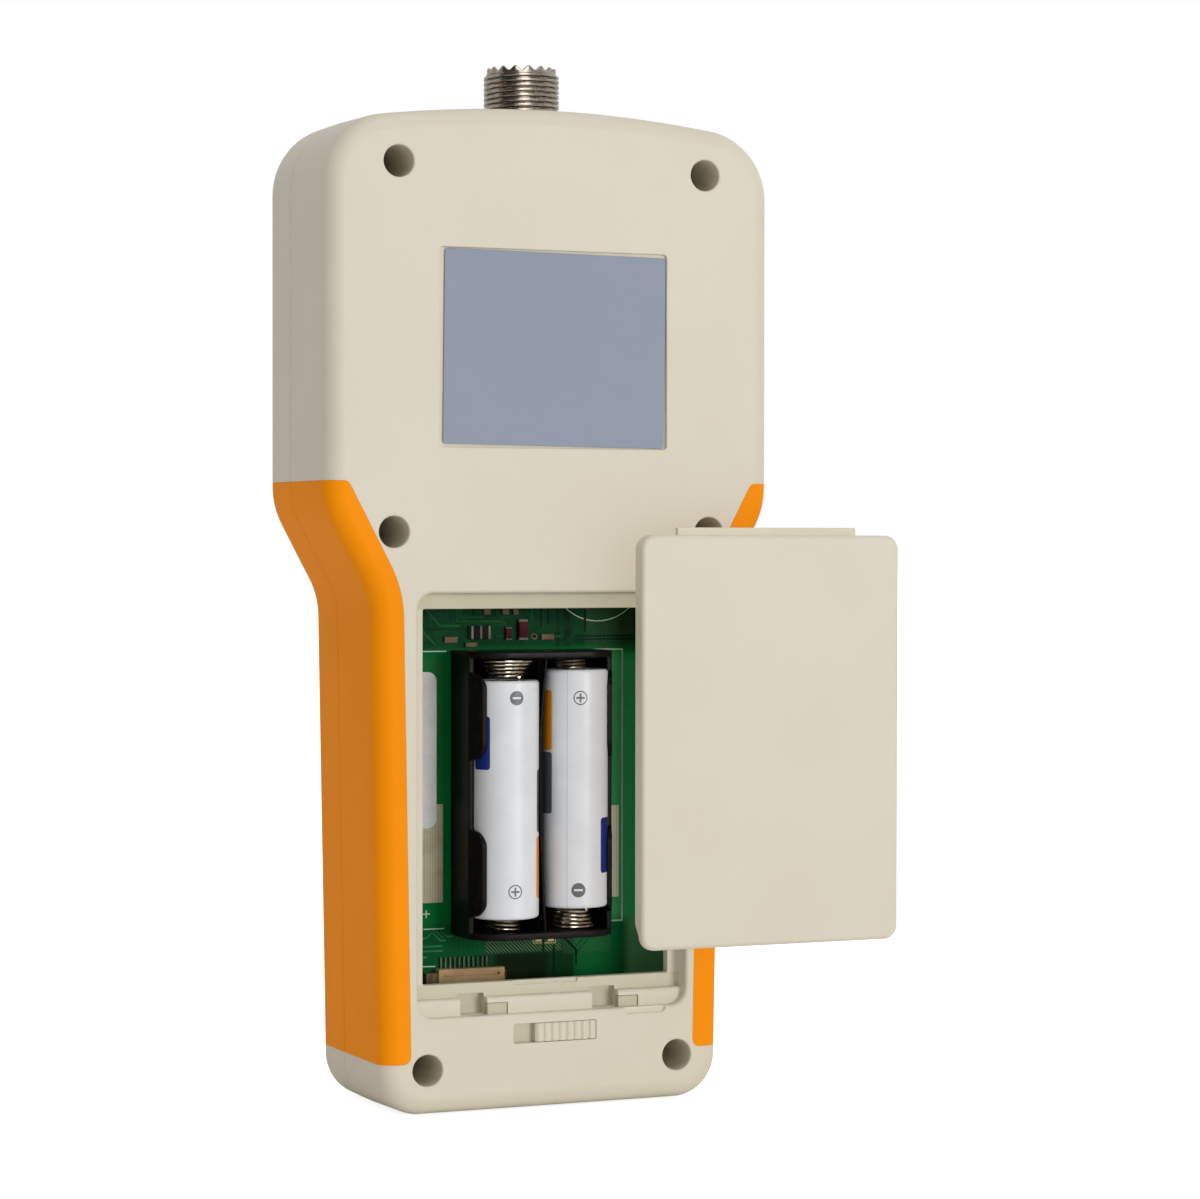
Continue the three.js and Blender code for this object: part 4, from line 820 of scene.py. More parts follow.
def threadedBarrel():
    # closed grid round the axis: radius(row, angle) carries the helix, height(row, angle) the toothed rim
    s, (low, high) = socketShape, boxOf("rf_socket_shell")
    root, bore, narrow, flange = s["root"], s["bore"], s["narrow"], s["flange"]
    inside, rim, sleeve = low[1], high[1], s["narrow"] + s["sleeve"]
    crown, flangeTop = rim - s["crownHeight"], caseShape["crown"] - caseShape["wall"] - 0.3
    angle = np.linspace(0, 2 * np.pi, 128, endpoint=False)
    heights = np.linspace(flangeTop + 0.2, crown - 0.1, s["threadRows"])[:, None]
    off = np.abs(2 * ((heights / s["pitch"] - angle / (2 * np.pi)) % 1.0) - 1)
    flank = np.clip((off - 0.5) / 0.44, 0, 1)
    wave = np.clip(1 - flank ** 2 * (3 - 2 * flank) - 0.08 * off ** 2, 0, 1)
    thread = root + (s["crest"] - root) * wave * np.clip((crown - 0.1 - heights) / 0.5, 0, 1)
    teeth = (angle + math.radians(s["turn"])) * s["teeth"] / (2 * np.pi)
    tip = rim - s["toothDepth"] * np.abs(2 * (teeth % 1.0) - 1)
    under, seat = flangeTop - s["flangeThickness"], rim - s["seatDepth"]
    rows = [
        (narrow, inside), (sleeve, inside), (sleeve, under), (flange, under), (flange, flangeTop),
        (root, flangeTop), *zip(thread, heights), (root, crown), (root, tip - 0.15), (root - 0.12, tip),
        (bore + 0.3 * (root - bore), tip), (bore, tip - 0.25), (bore, seat), (narrow, seat),
    ]
    radius, height = (np.stack([np.broadcast_to(row[i], angle.shape) for row in rows]) for i in (0, 1))
    points = np.stack([radius * np.cos(angle), height, halfDepth - radius * np.sin(angle)], -1)
    return ringsForm(points, closed=True)


def insulatorRing():
    low, high = boxOf("rf_socket_insulator")
    outer, hole, bottom, top, bevel = (high[0] - low[0]) / 2, 2.8, low[1], high[1], 0.3
    profile = [(hole, bottom), (outer, bottom), (outer, top - bevel), (outer - bevel, top),
               (hole + bevel, top), (hole, top - bevel)]
    return turnedUpright(profile, 0, halfDepth, 64, closed=True)


def centreContact():
    # a tube with a domed lip, slit four ways
    foot, mouth = (corner[1] for corner in boxOf("rf_socket_contact"))
    outer, bore, tail, shoulder, floor = 2.5, 2.0, 1.0, mouth - 6.0, mouth - 3.4
    profile = [(0.01, foot), (tail, foot), (tail, shoulder), (outer, shoulder), (outer, mouth - 0.3),
               (outer - 0.2, mouth), (bore + 0.15, mouth), (bore, mouth - 0.2), (bore, floor), (0.01, floor)]
    reach, half = 4.0, 0.18
    slits = [plate((-a, a, -b, b, 0.05), mouth - 3.0, mouth + 1, steps=2)
             for a, b in ((reach, half), (half, reach))]
    return carve(turnedUpright(profile, 0, halfDepth), [("-", stoodUp(slit, halfDepth)) for slit in slits])


def insulatorWhite():
    finish = Finish("insulator", Roughness=0.35, Specular_IOR_Level=0.5)
    haze = finish.noise(220.0, 3.0).ramp(0.35, 0.7)
    finish.feed(Base_Color=finish.mix(haze, paint(236, 233, 226), paint(222, 216, 204)))
    return finish.material


barrel = threadedBarrel()
smoothPiece("socketBarrel", "case", barrel, nickel, "rf_socket_shell", 50, False)
smoothPiece("socketInsulator", "case", insulatorRing(), insulatorWhite(),
            "rf_socket_insulator")
smoothPiece("socketContact", "case", centreContact(), gold, "rf_socket_contact")
print("socket and screws ready")

# Holder for two cells
holderShape = {
    "halfWidth": 16.26, "clearance": 0.2, "taper": 0.75, "low": 0.7, "high": 4.43, "foot": -6.2,
    "lobes": [(39.4, 57.7), (72.0, 90.3)], "lobeCorner": 3.4, "tip": 0.12,
    "endWall": 1.4, "endTop": 6.3, "endCorner": 7.2, "endEdge": 0.3,
    "dividerHalf": 0.25, "dividerEdge": 0.2, "dividerFoot": 5.0, "dividerRise": 3.5,
    "dividerTop": [(34.8, 0.1), (45, -0.6), (58, -1.15), (74, -1.3), (85, -0.7), (94.6, 0.4)],
}
leftBox, rightBox = boxOf("battery_cell_left"), boxOf("battery_cell_right")
cellRadius = (leftBox[1][0] - leftBox[0][0]) / 2
cellAxes = [middleOf(f"battery_cell_{hand}")[0] for hand in ("left", "right")]
cellMiddle, cellDepth = sum(cellAxes) / 2, middleOf("battery_cell_left")[2]
holderLow, holderHigh = boxOf("battery_holder")
channelRadius = cellRadius + holderShape["clearance"]


def lobeHeight(y):
    # wall height over the cell axis: low, rising to high along each lobe with circular corners
    h = holderShape
    height = np.full_like(y, h["low"])
    for start, end in h["lobes"]:
        edge = np.minimum(y - start, end - y)
        rise = np.sqrt(1 - (1 - np.clip(edge / h["lobeCorner"], 0, 1)) ** 2)
        height = np.where(edge > 0, h["low"] + (h["high"] - h["low"]) * rise, height)
    return height


def sideWall(side):
    # rings along y; each is the wall's section: up the outside on a circle, over the tip, down the inside
    h, corner = holderShape, holderShape["lobeCorner"]
    y = np.concatenate([
        np.linspace(holderLow[1] + 0.6, holderHigh[1] - 0.6, 40),
        *[np.linspace(start - 0.01, start + corner, 10) for start, _ in h["lobes"]],
        *[np.linspace(end - corner, end + 0.01, 10) for _, end in h["lobes"]],
    ])
    y = np.unique(np.round(y, 4))[:, None]
    up = h["foot"] + (lobeHeight(y) - h["foot"]) * np.linspace(0, 1, 14)
    outer = h["halfWidth"] - (cellAxes[1] - cellAxes[0]) / 2 - h["taper"] * np.clip(up / h["high"], 0, 1)
    outside, inside = np.sqrt(outer ** 2 - up ** 2), np.sqrt(channelRadius ** 2 - up ** 2)
    tip = (outside[:, -1:] + channelRadius) / 2
    across = np.concatenate([outside, tip, inside[:, ::-1]], 1)
    height = np.concatenate([up, up[:, -1:] + h["tip"], up[:, ::-1]], 1)
    x = (cellAxes[1] if side > 0 else cellAxes[0]) + side * across
    return ringsForm(np.stack(np.broadcast_arrays(x, y, cellDepth + height), -1))


def endPlate(y0, y1):
    # upright plate with rounded upper corners, seen along y
    h, left, right = holderShape, cellMiddle - holderShape["halfWidth"], cellMiddle + holderShape["halfWidth"]
    top, foot, corner = -cellDepth - h["endTop"], -holderLow[2], h["endCorner"]
    corners = [(left, top, corner), (right, top, corner), (right, foot, 0.5), (left, foot, 0.5)]
    return stoodUp(block(corners, y0, y1, h["endEdge"], h["endEdge"], edge=3))


def divider():
    # thin wall between the cells whose upper edge leans over, by the square of the height above the axes
    h, half = holderShape, holderShape["dividerHalf"]
    y = np.linspace(holderLow[1] + 0.5, holderHigh[1] - 0.5, 60)
    lean = np.pad(np.interp(y, *np.transpose(h["dividerTop"])), 4, mode="edge")
    lean = np.convolve(lean, np.ones(9) / 9, mode="valid")
    low, high = cellDepth - h["dividerFoot"], cellDepth + h["dividerRise"]
    section = filletOutline(rectangleCorners(-half, half, low, high, h["dividerEdge"]), 0, 4)
    sides = [(half, low + (high - low) * share) for share in np.linspace(0.1, 0.9, 9)]
    section = np.array([*section[:10], *sides, *section[10:], *[(-x, z) for x, z in sides[::-1]]])
    share = np.clip((section[:, 1] - cellDepth) / (high - cellDepth), 0, 1) ** 2
    x = cellMiddle + lean[:, None] * share + section[:, 0]
    return ringsForm(np.stack(np.broadcast_arrays(x, y[:, None], section[:, 1]), -1))


def batteryHolder():
    # floor block with two round channels, side walls, middle wall and end plates
    h, half, wall = holderShape, holderShape["halfWidth"], holderShape["endWall"]
    foot, top = holderLow[1], holderHigh[1]
    sides = (cellMiddle - half, cellMiddle + half, foot + 0.3, top - 0.3, holderLow[2], cellDepth + h["low"])
    channels = [upright(channelRadius, x, foot + wall, top - wall, cellDepth, 96) for x in cellAxes]
    steps = [("+", form) for form in (sideWall(1), sideWall(-1), divider())]
    steps += [("-", channel) for channel in channels]
    steps += [("+", form) for form in (endPlate(foot, foot + wall), endPlate(top - wall, top))]
    return carve(bar(*sides, 0.25), steps)


def holderPlastic():
    finish = Finish("holder plastic", Specular_IOR_Level=0.07)
    dust = finish.noise(420.0, 4.0, 0.65).ramp(0.5, 0.85)
    finish.feed(Base_Color=finish.mix(dust, paint(20, 17, 15), paint(36, 31, 28)))
    finish.feed(Roughness=0.3 + 0.25 * dust)
    finish.bump(finish.noise(3000.0, 2.0), 0.2, 0.00002)
    return finish.material


smoothPiece("cellHolder", "case", batteryHolder(), holderPlastic(), "battery_holder")
print("holder ready")

# Cells: sleeve with plain colour blocks and polarity signs, metal cap and foot
cellShape = {
    "bodies": {"left": 49.5, "right": 49.85}, "shoulder": 0.75, "wrap": 1.6, "capRadius": 2.45, "ring": 4.6,
}
signShape = {"radius": 1.5, "line": 0.26, "arm": 0.92, "bar": 0.2, "blockCorner": 0.7}
cellMarks = {
    "left": {
        "signs": [("-", -0.2, 85.1), ("+", -0.5, 45.0)], "seam": 9.6,
        "blocks": [(-10.2, -5.9, 70.2, 81.3, "blue"), (5.6, 9.6, 43.3, 56.1, "orange"),
                   (5.9, 9.6, 57.0, 70.0, "grey")],
    },
    "right": {
        "signs": [("+", -1.5, 84.9), ("-", -1.9, 44.8)], "seam": -4.3,
        "blocks": [(3.6, 7.8, 48.1, 59.7, "blue"), (-12.0, -7.9, 73.9, 86.4, "orange"),
                   (-11.6, -7.9, 60.6, 73.5, "grey")],
    },
}
markColours = {"blue": paint(22, 38, 128), "orange": paint(238, 152, 24), "grey": paint(92, 94, 98)}


def beyond(value, start, end):
    # how far a value lies outside the stretch from start to end, 0 within it
    return (abs(value - (start + end) / 2) - (end - start) / 2).largest(0.0)


def sleeveFinish(name, marks):
    # printed sleeve: masks drawn on the unrolled surface, u along the round and v up, in millimetres
    finish = Finish(name, Coat_Weight=0.15, Coat_Roughness=0.15, Specular_IOR_Level=0.4)
    g, c = signShape, signShape["blockCorner"]
    u, v, _ = splitUp(finish.tree, finish.node("ShaderNodeUVMap", {"uv_map": "unrolled"}))
    drift = finish.noise(160.0, 2.0).ramp(0.3, 0.7)
    colour = finish.mix(drift, paint(228, 230, 233), paint(222, 225, 229))
    for u0, u1, v0, v1, hue in marks["blocks"]:
        across, along = beyond(u, u0 + c, u1 - c), beyond(v, v0 + c, v1 - c)
        inside = 1.0 - ((across * across + along * along).root()).ramp(c - 0.05, c + 0.05)
        colour = finish.mix(inside, colour, markColours[hue])
    for sign, u0, v0 in marks["signs"]:
        du, dv = u - u0, v - v0
        away = (du * du + dv * dv).root()
        level = (abs(dv) < g["bar"]) * (abs(du) < g["arm"])
        if sign == "+":
            level = level.largest((abs(du) < g["bar"]) * (abs(dv) < g["arm"]))
            shape = ((away > g["radius"] - g["line"]) * (away < g["radius"])).largest(level)
        else:
            shape = (away < g["radius"]) * (1.0 - level)
        colour = finish.mix(shape, colour, paint(96, 98, 102))
    seam = 1.0 - abs(u - marks["seam"]).ramp(0.02, 0.12)
    colour = finish.mix(seam * 0.5, colour, paint(140, 144, 152))
    finish.feed(Base_Color=colour, Roughness=0.3 + 0.08 * drift)
    finish.bump(finish.noise(900.0, 2.0), 0.08, 0.00003)
    return finish.material


def unroll(mesh, x):
    # u is the arc from the side that faces the rear, v the height, both in millimetres
    corners = np.empty(len(mesh.loops), int)
    mesh.loops.foreach_get("vertex_index", corners)
    place = fromRow(placesOf(mesh))[corners]
    arc = np.arctan2(place[:, 0] - x, place[:, 2] - cellDepth) * cellRadius
    mesh.uv_layers.new(name="unrolled").data.foreach_set("uv", np.column_stack([arc, place[:, 1]]).ravel())


def cellPieces(hand, box, up):
    # profiles of radius and level turned about the cell's axis; up is 1 where the button end is on top
    c, r, s, k = cellShape, cellRadius, cellShape["shoulder"], cellShape["capRadius"]
    (x, bottom, _), (_, top, _) = box
    x, body, inner = x + r, c["bodies"][hand], r - c["wrap"]
    tall, foot = top - bottom, bottom if up > 0 else top
    bend = np.radians(np.linspace(0, 90, 7))
    sleeve = [
        (inner, 0.35), (inner, 0.06), (inner + 0.1, 0),
        *[(r - s + s * math.sin(a), s - s * math.cos(a)) for a in bend],
        *[(r - s + s * math.cos(a), body - s + s * math.sin(a)) for a in bend],
        (inner + 0.1, body), (inner, body - 0.1), (inner, body - 0.4),
    ]
    steel = [(0.01, 0.12), (inner - 0.4, 0.12), (inner - 0.1, 0.3), (inner - 0.1, 2.0), (0.01, 2.0)]
    cap = [(0.01, body - 1.5), (c["ring"], body - 1.5), (c["ring"], body - 0.35), (k + 0.25, body - 0.3),
           (k, body - 0.1), (k - 0.15, tall - 0.3), (k - 0.45, tall), (0.01, tall)]

    def spun(profile, sides):
        raised = [(radius, foot + up * level) for radius, level in profile[::up]]
        return turnedUpright(raised, x, cellDepth, sides)

    node, finish = f"battery_cell_{hand}", sleeveFinish(f"{hand} sleeve", cellMarks[hand])
    made = smoothPiece(f"cellSleeve_{hand}", node, spun(sleeve, 96), finish, node)
    unroll(made.data, x)
    smoothPiece(f"cellFoot_{hand}", node, spun(steel, 64), tinned)
    smoothPiece(f"cellCap_{hand}", node, spun(cap, 64), tinned)


cellPieces("left", leftBox, -1)
cellPieces("right", rightBox, 1)
print("cells ready")

# Contact springs: wire wound from the wide turn on the holder to the narrow one at the cell
springShape = {
    "minus_spring_left": {"wide": 5.7, "narrow": 2.9, "turns": 5.0, "wire": 0.56, "shift": 0.3},
    "minus_spring_right": {"wide": 4.4, "narrow": 3.2, "turns": 5.0, "wire": 0.56, "shift": -0.4},
    "plus_spring_left": {"wide": 3.1, "narrow": 2.8, "turns": 2.6, "wire": 0.5, "past": 0.95},
    "plus_spring_right": {"wide": 2.9, "narrow": 2.8, "turns": 2.6, "wire": 0.5, "past": 0.95, "shift": -0.7},
}


def coil(node, wide, narrow, turns, wire, past=0.0, shift=0.0):
    # centre line (r cos a, height, r sin a) with r and height running from the plate to the cell, and a
    # round section
    low, high = boxOf(node)
    x = (cellAxes[0] if node.endswith("left") else cellAxes[1]) + shift
    onTop = middleOf(node)[1] > middleOf("battery_holder")[1]
    start, end = (high[1], low[1]) if onTop else (low[1], high[1])
    sign = np.sign(end - start)
    length = end + sign * past - start - sign * wire
    t = np.linspace(0, 1, int(turns * 28) + 1)[:, None]
    angle, around = 2 * np.pi * turns * t, np.linspace(0, 2 * np.pi, 10, endpoint=False)
    out = wide + (narrow - wide) * t + wire / 2 * np.cos(around)
    rise = start + sign * wire / 2 + length * np.clip((t - 0.08) / 0.86, 0, 1) + wire / 2 * np.sin(around)
    return ringsForm(np.stack([x + out * np.cos(angle), rise, cellDepth + out * np.sin(angle)], -1))


for node, shape in springShape.items():
    wire = coil(node, **shape)
    smoothPiece(f"wire_{node}", "case", wire, springWire, node, weighted=False)
print("springs ready")

# Board: the CAD plate with its mask, and thin printed and soldered things upon it
boardFace = boxOf("main_board")[1][2]
# areas of the board in millimetres: x from, x to, height from, height to, colour, strength, soft edge
# The two areas that span the board, along the top and along the bottom of the window, are painted shade; the
# two on the right, from x 25.5 at the bottom and from x 17.6 beside the holder, are painted light.
boardAreas = [
    (-40, 40, 94.6, 120, (12, 60, 32), 0.95, 3.0), (-5.6, -2.6, 97.1, 99.5, (12, 46, 30), 0.8, 0.3),
    (-18.9, -14.7, 100.7, 102.8, (18, 62, 50), 0.8, 0.3), (8.8, 9.7, 95.2, 104, (8, 44, 24), 0.7, 0.2),
    (10.6, 12.2, 95.2, 104, (8, 44, 24), 0.7, 0.2), (21.0, 30, 98, 106, (44, 52, 24), 0.6, 3.0),
    (-40, 40, 0, 36.5, (14, 80, 42), 0.75, 3.0), (-7.5, 13.0, 0, 33.6, (22, 62, 34), 0.8, 0.6),
    (-5.0, 13.0, 0, 29.9, (12, 58, 26), 0.85, 2.0), (-5.0, 7.0, 0, 30.2, (22, 34, 12), 0.9, 2.0),
    (25.5, 40, 0, 37.0, (104, 170, 116), 0.9, 3.0), (17.6, 30.0, 37.0, 93.0, (74, 198, 126), 0.8, 3.0),
]
# areas of fine slanting lines: x from, x to, height from, height to, strength
hatchAreas = [
    (-7.3, 10.1, 30.3, 34.5, 0.9), (10.4, 21.6, 29.6, 34.0, 0.35), (17.6, 24.0, 36.4, 94.0, 0.5),
    (-26.0, -17.0, 63.0, 93.0, 0.3), (15.5, 27.0, 94.8, 103.8, 0.3),
]


def within(value, low, high, soft):
    # 1 from low to high, falling to 0 over the soft edge
    return value.ramp(low - soft, low + soft) * (1 - value.ramp(high - soft, high + soft))


def boardMask():
    # green mask: a slow drift, painted light that lightens it towards the right, areas of other tone, of
    # painted shade and of painted light, and fine slanting lines of copper under some of them
    finish = Finish("board mask", Specular_IOR_Level=0.015)
    x, _, z = finish.axes()
    lines = (((x + z) * 0.7071).modulo(0.56)).ramp(0.3, 0.2)
    cloud = finish.noise(60.0, 3.0).ramp(0.3, 0.7)
    patch = finish.noise(420.0, 2.0, 0.6).ramp(0.4, 0.6)
    colour = finish.mix(cloud, paint(7, 118, 54), paint(5, 106, 48))
    # painted light: the mask is lighter towards the right
    colour = finish.mix(x.ramp(-24.0, 26.0), colour, paint(10, 166, 78))
    for x0, x1, z0, z1, hue, strength, soft in boardAreas:
        area = within(x, x0, x1, soft / 2) * within(z, z0, z1, soft / 2)
        colour = finish.mix(area * strength, colour, paint(*hue))
    colour = finish.mix(within(z, 94.6, 120, 1.0) * patch * 0.35, colour, paint(26, 92, 50))
    hatched = 0.0
    for x0, x1, z0, z1, strength in hatchAreas:
        hatched = within(x, x0, x1, 0.4) * within(z, z0, z1, 0.4) * strength + hatched
    fan = within(x, -15.2, -6.9, 0.1) * within(z, 31.4, 35.6, 0.4) * (x.modulo(1.03) < 0.3)
    colour = finish.mix(fan * 0.4, colour, paint(20, 60, 36))
    colour = finish.mix(lines * hatched, colour, paint(102, 128, 94))
    finish.feed(Base_Color=colour, Roughness=0.34 + 0.08 * cloud)
    finish.bump(lines * hatched, 0.2, 0.00002)
    return finish.material


def linedCopper():
    # tinned copper in narrow strips with green between
    finish = Finish("bare pad", Roughness=0.42, Specular_IOR_Level=0.2)
    x = finish.axes()[0]
    cloud = finish.noise(300.0, 3.0).ramp(0.35, 0.7)
    colour = finish.mix(cloud, paint(206, 197, 166), paint(190, 180, 148))
    # painted light: the pad on the right is lighter
    colour = finish.mix(x.ramp(0.0, 10.0), colour, paint(255, 250, 222))
    finish.feed(Base_Color=finish.mix((x.modulo(0.62) < 0.09) * 0.55, colour, paint(104, 128, 84)))
    return finish.material


trackGreen = plain("covered track", (28, 100, 56), (22, 88, 48), 0.32, 0.02)
# the lit and the shaded track are the covered track's colour with painted light and painted shade
trackLit = plain("lit track", (56, 138, 96), (44, 120, 82), 0.32, 0.02)
trackShaded = plain("shaded track", (8, 46, 26), (6, 38, 22), 0.32, 0.02)
silkWhite = plain("board print", (206, 234, 204), (190, 218, 188), 0.6, 0.1)
chipDark = plain("chip body", (34, 31, 28), (24, 22, 20), 0.45, 0.04)
chipRed = plain("red part", (90, 32, 28), (66, 25, 22), 0.4, 0.04)
chipTan = plain("tan part", (150, 122, 100), (122, 96, 78), 0.4, 0.04)
solder = plain("dull solder", (140, 136, 120), (96, 91, 78), 0.4, 0.15)
brightPad = plain("tinned pad", (250, 228, 146), (232, 200, 110), 0.3)
giltRing = plain("gilt ring", (172, 130, 70), (140, 100, 52), 0.4, 0.2)
tan = plain("connector resin", (208, 174, 126), (186, 152, 108), 0.45, 0.15)
clipTan = plain("clip resin", (124, 104, 66), (84, 70, 46), 0.5, 0.2, 1400.0)
paper = plain("sticker paper", (228, 228, 222), (218, 218, 211), 0.55)

# nodes of the frame whose shape is right keep their mesh and get a finish
dressed = {
    "main_board": boardMask(), "data_socket": tinned,
    "key_board": plain("key board mask", (14, 70, 36), (10, 54, 30), 0.4),
    "display_module": plain("display frame", (150, 152, 154), (132, 134, 138), 0.35, Metallic=0.6),
    "keypad_cable": plain("ribbon cable", (214, 214, 208), (202, 202, 196), 0.5),
}
for node, material in dressed.items():
    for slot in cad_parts[node].material_slots:
        slot.material = material


def ribbon(width, *route, low, thickness):
    # a flat strip of even width along a route of x and y on the board, with mitred bends
    route = np.reshape(route, (-1, 2)).astype(float)
    along = np.diff(route, axis=0)
    along /= np.linalg.norm(along, axis=1, keepdims=True)
    side = np.stack([-along[:, 1], along[:, 0]], 1)
    both = np.concatenate([side[:1], side[:-1] + side[1:], side[-1:]])
    both /= np.linalg.norm(both, axis=1, keepdims=True)
    reach = np.concatenate([[1.0], 1 / np.maximum((both[1:-1] * side[1:]).sum(1), 0.3), [1.0]])
    offset = both * (reach * width / 2)[:, None]
    rings = []
    for left, right in zip(route + offset, route - offset):
        rings.append([(*right, low), (*left, low), (*left, low + thickness), (*right, low + thickness)])
    return ringsForm(rings)


def ring(x, y, radius, width, low, high, sides):
    inner, outer = radius - width / 2, radius + width / 2
    return turned([(inner, low), (outer, low), (outer, high), (inner, high)], x, y, sides, closed=True)


def slab(x0, x1, y0, y1, low, high, corner=0.1):
    return plate((x0, x1, y0, y1, corner), low, high, 0, min(0.08, (high - low) / 3), steps=3, edge=3)


# lines are a width and then the x and y of each bend; parts are x, y, width, height, rise and kind
boardPrint = {
    "silkHeight": 0.02, "trackHeight": 0.035, "cap": 0.12,
    "silk": [
        (0.22, -21.7, 94.4, -16.1, 94.4), (0.22, -21.2, 36.1, -16.6, 36.1), (0.22, -26.8, 28.4, -18.6, 28.2),
        (0.34, 16.4, 94.4, 24.3, 94.4, 24.3, 36.1, 17.6, 36.1),
    ],
    "plus": [
        (0.28, -21.4, 39.3, -19.8, 39.3), (0.28, -20.6, 38.5, -20.6, 39.16),
        (0.28, -20.6, 39.44, -20.6, 40.1),
    ],
    "light": [
        (0.45, -22.6, 44, -22.6, 66, -25, 68.5, -25, 92), (0.45, -24, 37, -24, 64, -26.2, 66.4, -26.2, 94),
        (0.4, -26.5, 103.4, -20.9, 103.4, -17.6, 99.8, -13.0, 99.7), (0.4, -21.4, 98.6, -18.4, 95.6),
        (0.35, -12.9, 104, -12.9, 101.5, -7.8, 101.5),
        (0.35, -13.7, 104, -13.7, 100.6, -3.9, 100.6, -2.6, 99.9),
        (0.4, 3.3, 101, 3.3, 104), (0.5, 8, 97.3, 10, 97.3), (0.3, -4.8, 97.4, -3.2, 97.4),
        (0.5, 13.4, 29.4, 16.6, 32.7, 21.6, 33.3), (0.35, 12.2, 29.6, 15.6, 33.0), (0.35, 19.0, 41, 19.0, 60),
        (0.5, -23.5, 95.5, -23.5, 103.0),
    ],
    "bright": [
        (0.4, -26.8, 30.2, -20.4, 30.2), (0.4, -26.8, 32.5, -17.0, 32.4), (0.35, -26.8, 31.5, -16.9, 31.4),
        (0.4, -19.4, 35.6, -17.5, 33.6, -16.2, 33.6), (0.35, -18.4, 35.6, -16.8, 34.1),
        (0.3, -17.4, 35.6, -16.0, 34.4, -14.6, 34.4), (0.35, -26.8, 34.2, -20.6, 34.2, -18.8, 35.9),
    ],
    "shade": [
        (0.3, 13.2, 97.3, 27.5, 97.3), (0.3, 13.2, 96.6, 27.5, 96.6), (0.5, -10, 104, -10, 102.2),
        (0.4, -5.0, 104, -5.0, 101.6), (0.5, 5.4, 104, 5.4, 99.4), (0.4, 7.0, 104, 7.0, 99.8),
        (0.5, 15.6, 104, 15.6, 98.2), (0.5, 6.0, 33.2, 6.0, 25), (0.5, 8.4, 31.5, 8.4, 25),
        (0.3, -12.0, 99.0, -20.6, 99.0), (0.4, 10.4, 33.4, 13.6, 30.2, 13.6, 27.0),
    ],
    "copper": [(-21.7, -16.9, 41.6, 62.3), (20.1, 23.5, 41.2, 60.9)],
    "pads": [(4.2, 5.6, 32.4, 33.4), (7.0, 8.4, 32.3, 33.3)],
    "padFrame": (0.1, 3.7, 33.4, 3.7, 32.1, 8.8, 31.9, 8.8, 33.4),
    "loop": (18.5, 111.7, 11.2, 0.22), "via": (3.85, 97.32, 0.55, 0.14),
    "parts": [
        (-15.3, 96.8, 2.9, 1.3, 0.7, "Tan"), (-8.8, 98.3, 4.4, 2.8, 1.3, "Dark"),
        (-10.7, 95.7, 2.6, 1.0, 0.6, "Tan"), (-2.2, 98.0, 1.4, 2.7, 0.7, "Red"),
        (0.95, 98.8, 2.0, 4.4, 1.1, "Red"), (6.7, 97.2, 2.8, 1.2, 0.7, "Tan"),
        (-7.1, 102.9, 1.5, 1.7, 0.7, "Tan"), (-2.9, 102.9, 1.5, 1.7, 0.7, "Tan"),
        (-0.6, 102.9, 1.2, 1.7, 0.7, "Tan"),
    ],
}


def boardParts(low):
    # a body for each part, with a metal end at both ends of its longer side; the dark one has a third strip
    bodies, ends = {"Dark": [], "Red": [], "Tan": []}, []
    for x, y, width, height, rise, kind in boardPrint["parts"]:
        a, b, c = width / 2, height / 2, boardPrint["cap"] * max(width, height)
        if width >= height:
            body = (x - a + c, x + a - c, y - b + 0.04, y + b - 0.04)
            starts = (x - a, x + a - c, x - 0.4 * c) if kind == "Dark" else (x - a, x + a - c)
            ends += [slab(start, start + c, y - b, y + b, low, low + rise + 0.02) for start in starts]
        else:
            body = (x - a + 0.04, x + a - 0.04, y - b + c, y + b - c)
            ends += [slab(x - a, x + a, start, start + c, low, low + rise) for start in (y - b, y + b - c)]
        bodies[kind].append(slab(*body, low, low + rise))
    return bodies, ends


def boardDetail():
    p, low = boardPrint, boardFace + 0.01
    silkTop = low + p["silkHeight"]

    def ribbons(lines, thickness):
        return [ribbon(*line, low=low, thickness=thickness) for line in lines]

    bodies, ends = boardParts(low)
    x, y, radius, width = p["via"]
    bodies["Dark"].insert(0, disc(x, y, radius - width / 2, low, silkTop))
    silk = [*ribbons(p["silk"], p["silkHeight"]), ring(*p["loop"], low, silkTop, 96)]
    forms = {
        "Lines": (silk + ribbons(p["plus"], p["silkHeight"]), silkWhite),
        "Tracks": (ribbons(p["light"], p["trackHeight"]), trackGreen),
        "LitTracks": (ribbons(p["bright"], p["trackHeight"]), trackLit),
        "ShadedTracks": (ribbons(p["shade"], p["trackHeight"]), trackShaded),
        "Copper": ([slab(*area, low, low + 0.03) for area in p["copper"]], linedCopper()),
        "Pads": ([*[slab(*area, low, low + 0.06) for area in p["pads"]],
                  *ribbons([p["padFrame"]], p["silkHeight"])], brightPad),
        "Ring": ([ring(*p["via"], low, low + 0.06, 32)], giltRing),
        "PartsDark": (bodies["Dark"], chipDark), "PartsRed": (bodies["Red"], chipRed),
        "PartsTan": (bodies["Tan"], chipTan), "PartEnds": (ends, solder),
    }
    for name, (made, material) in forms.items():
        smoothPiece(f"board{name}", "case", joinForms(made), material, weighted=False)


boardDetail()

# Connector of the ribbon cable, and the sticker
connectorShape = {
    "x": -11.4, "half": 8.45, "bottom": 23.3, "height": 4.45, "thick": 2.2, "lift": 0.3, "end": 2.0,
    "slot": 0.7, "mouth": 1.0, "clips": [(-10.05, -7.45), (7.7, 8.15)],
    "pins": 11, "pitch": 1.03, "pinHalf": 0.15, "pinShift": -0.95, "pinReach": 2.3, "pinHeight": 0.35,
}


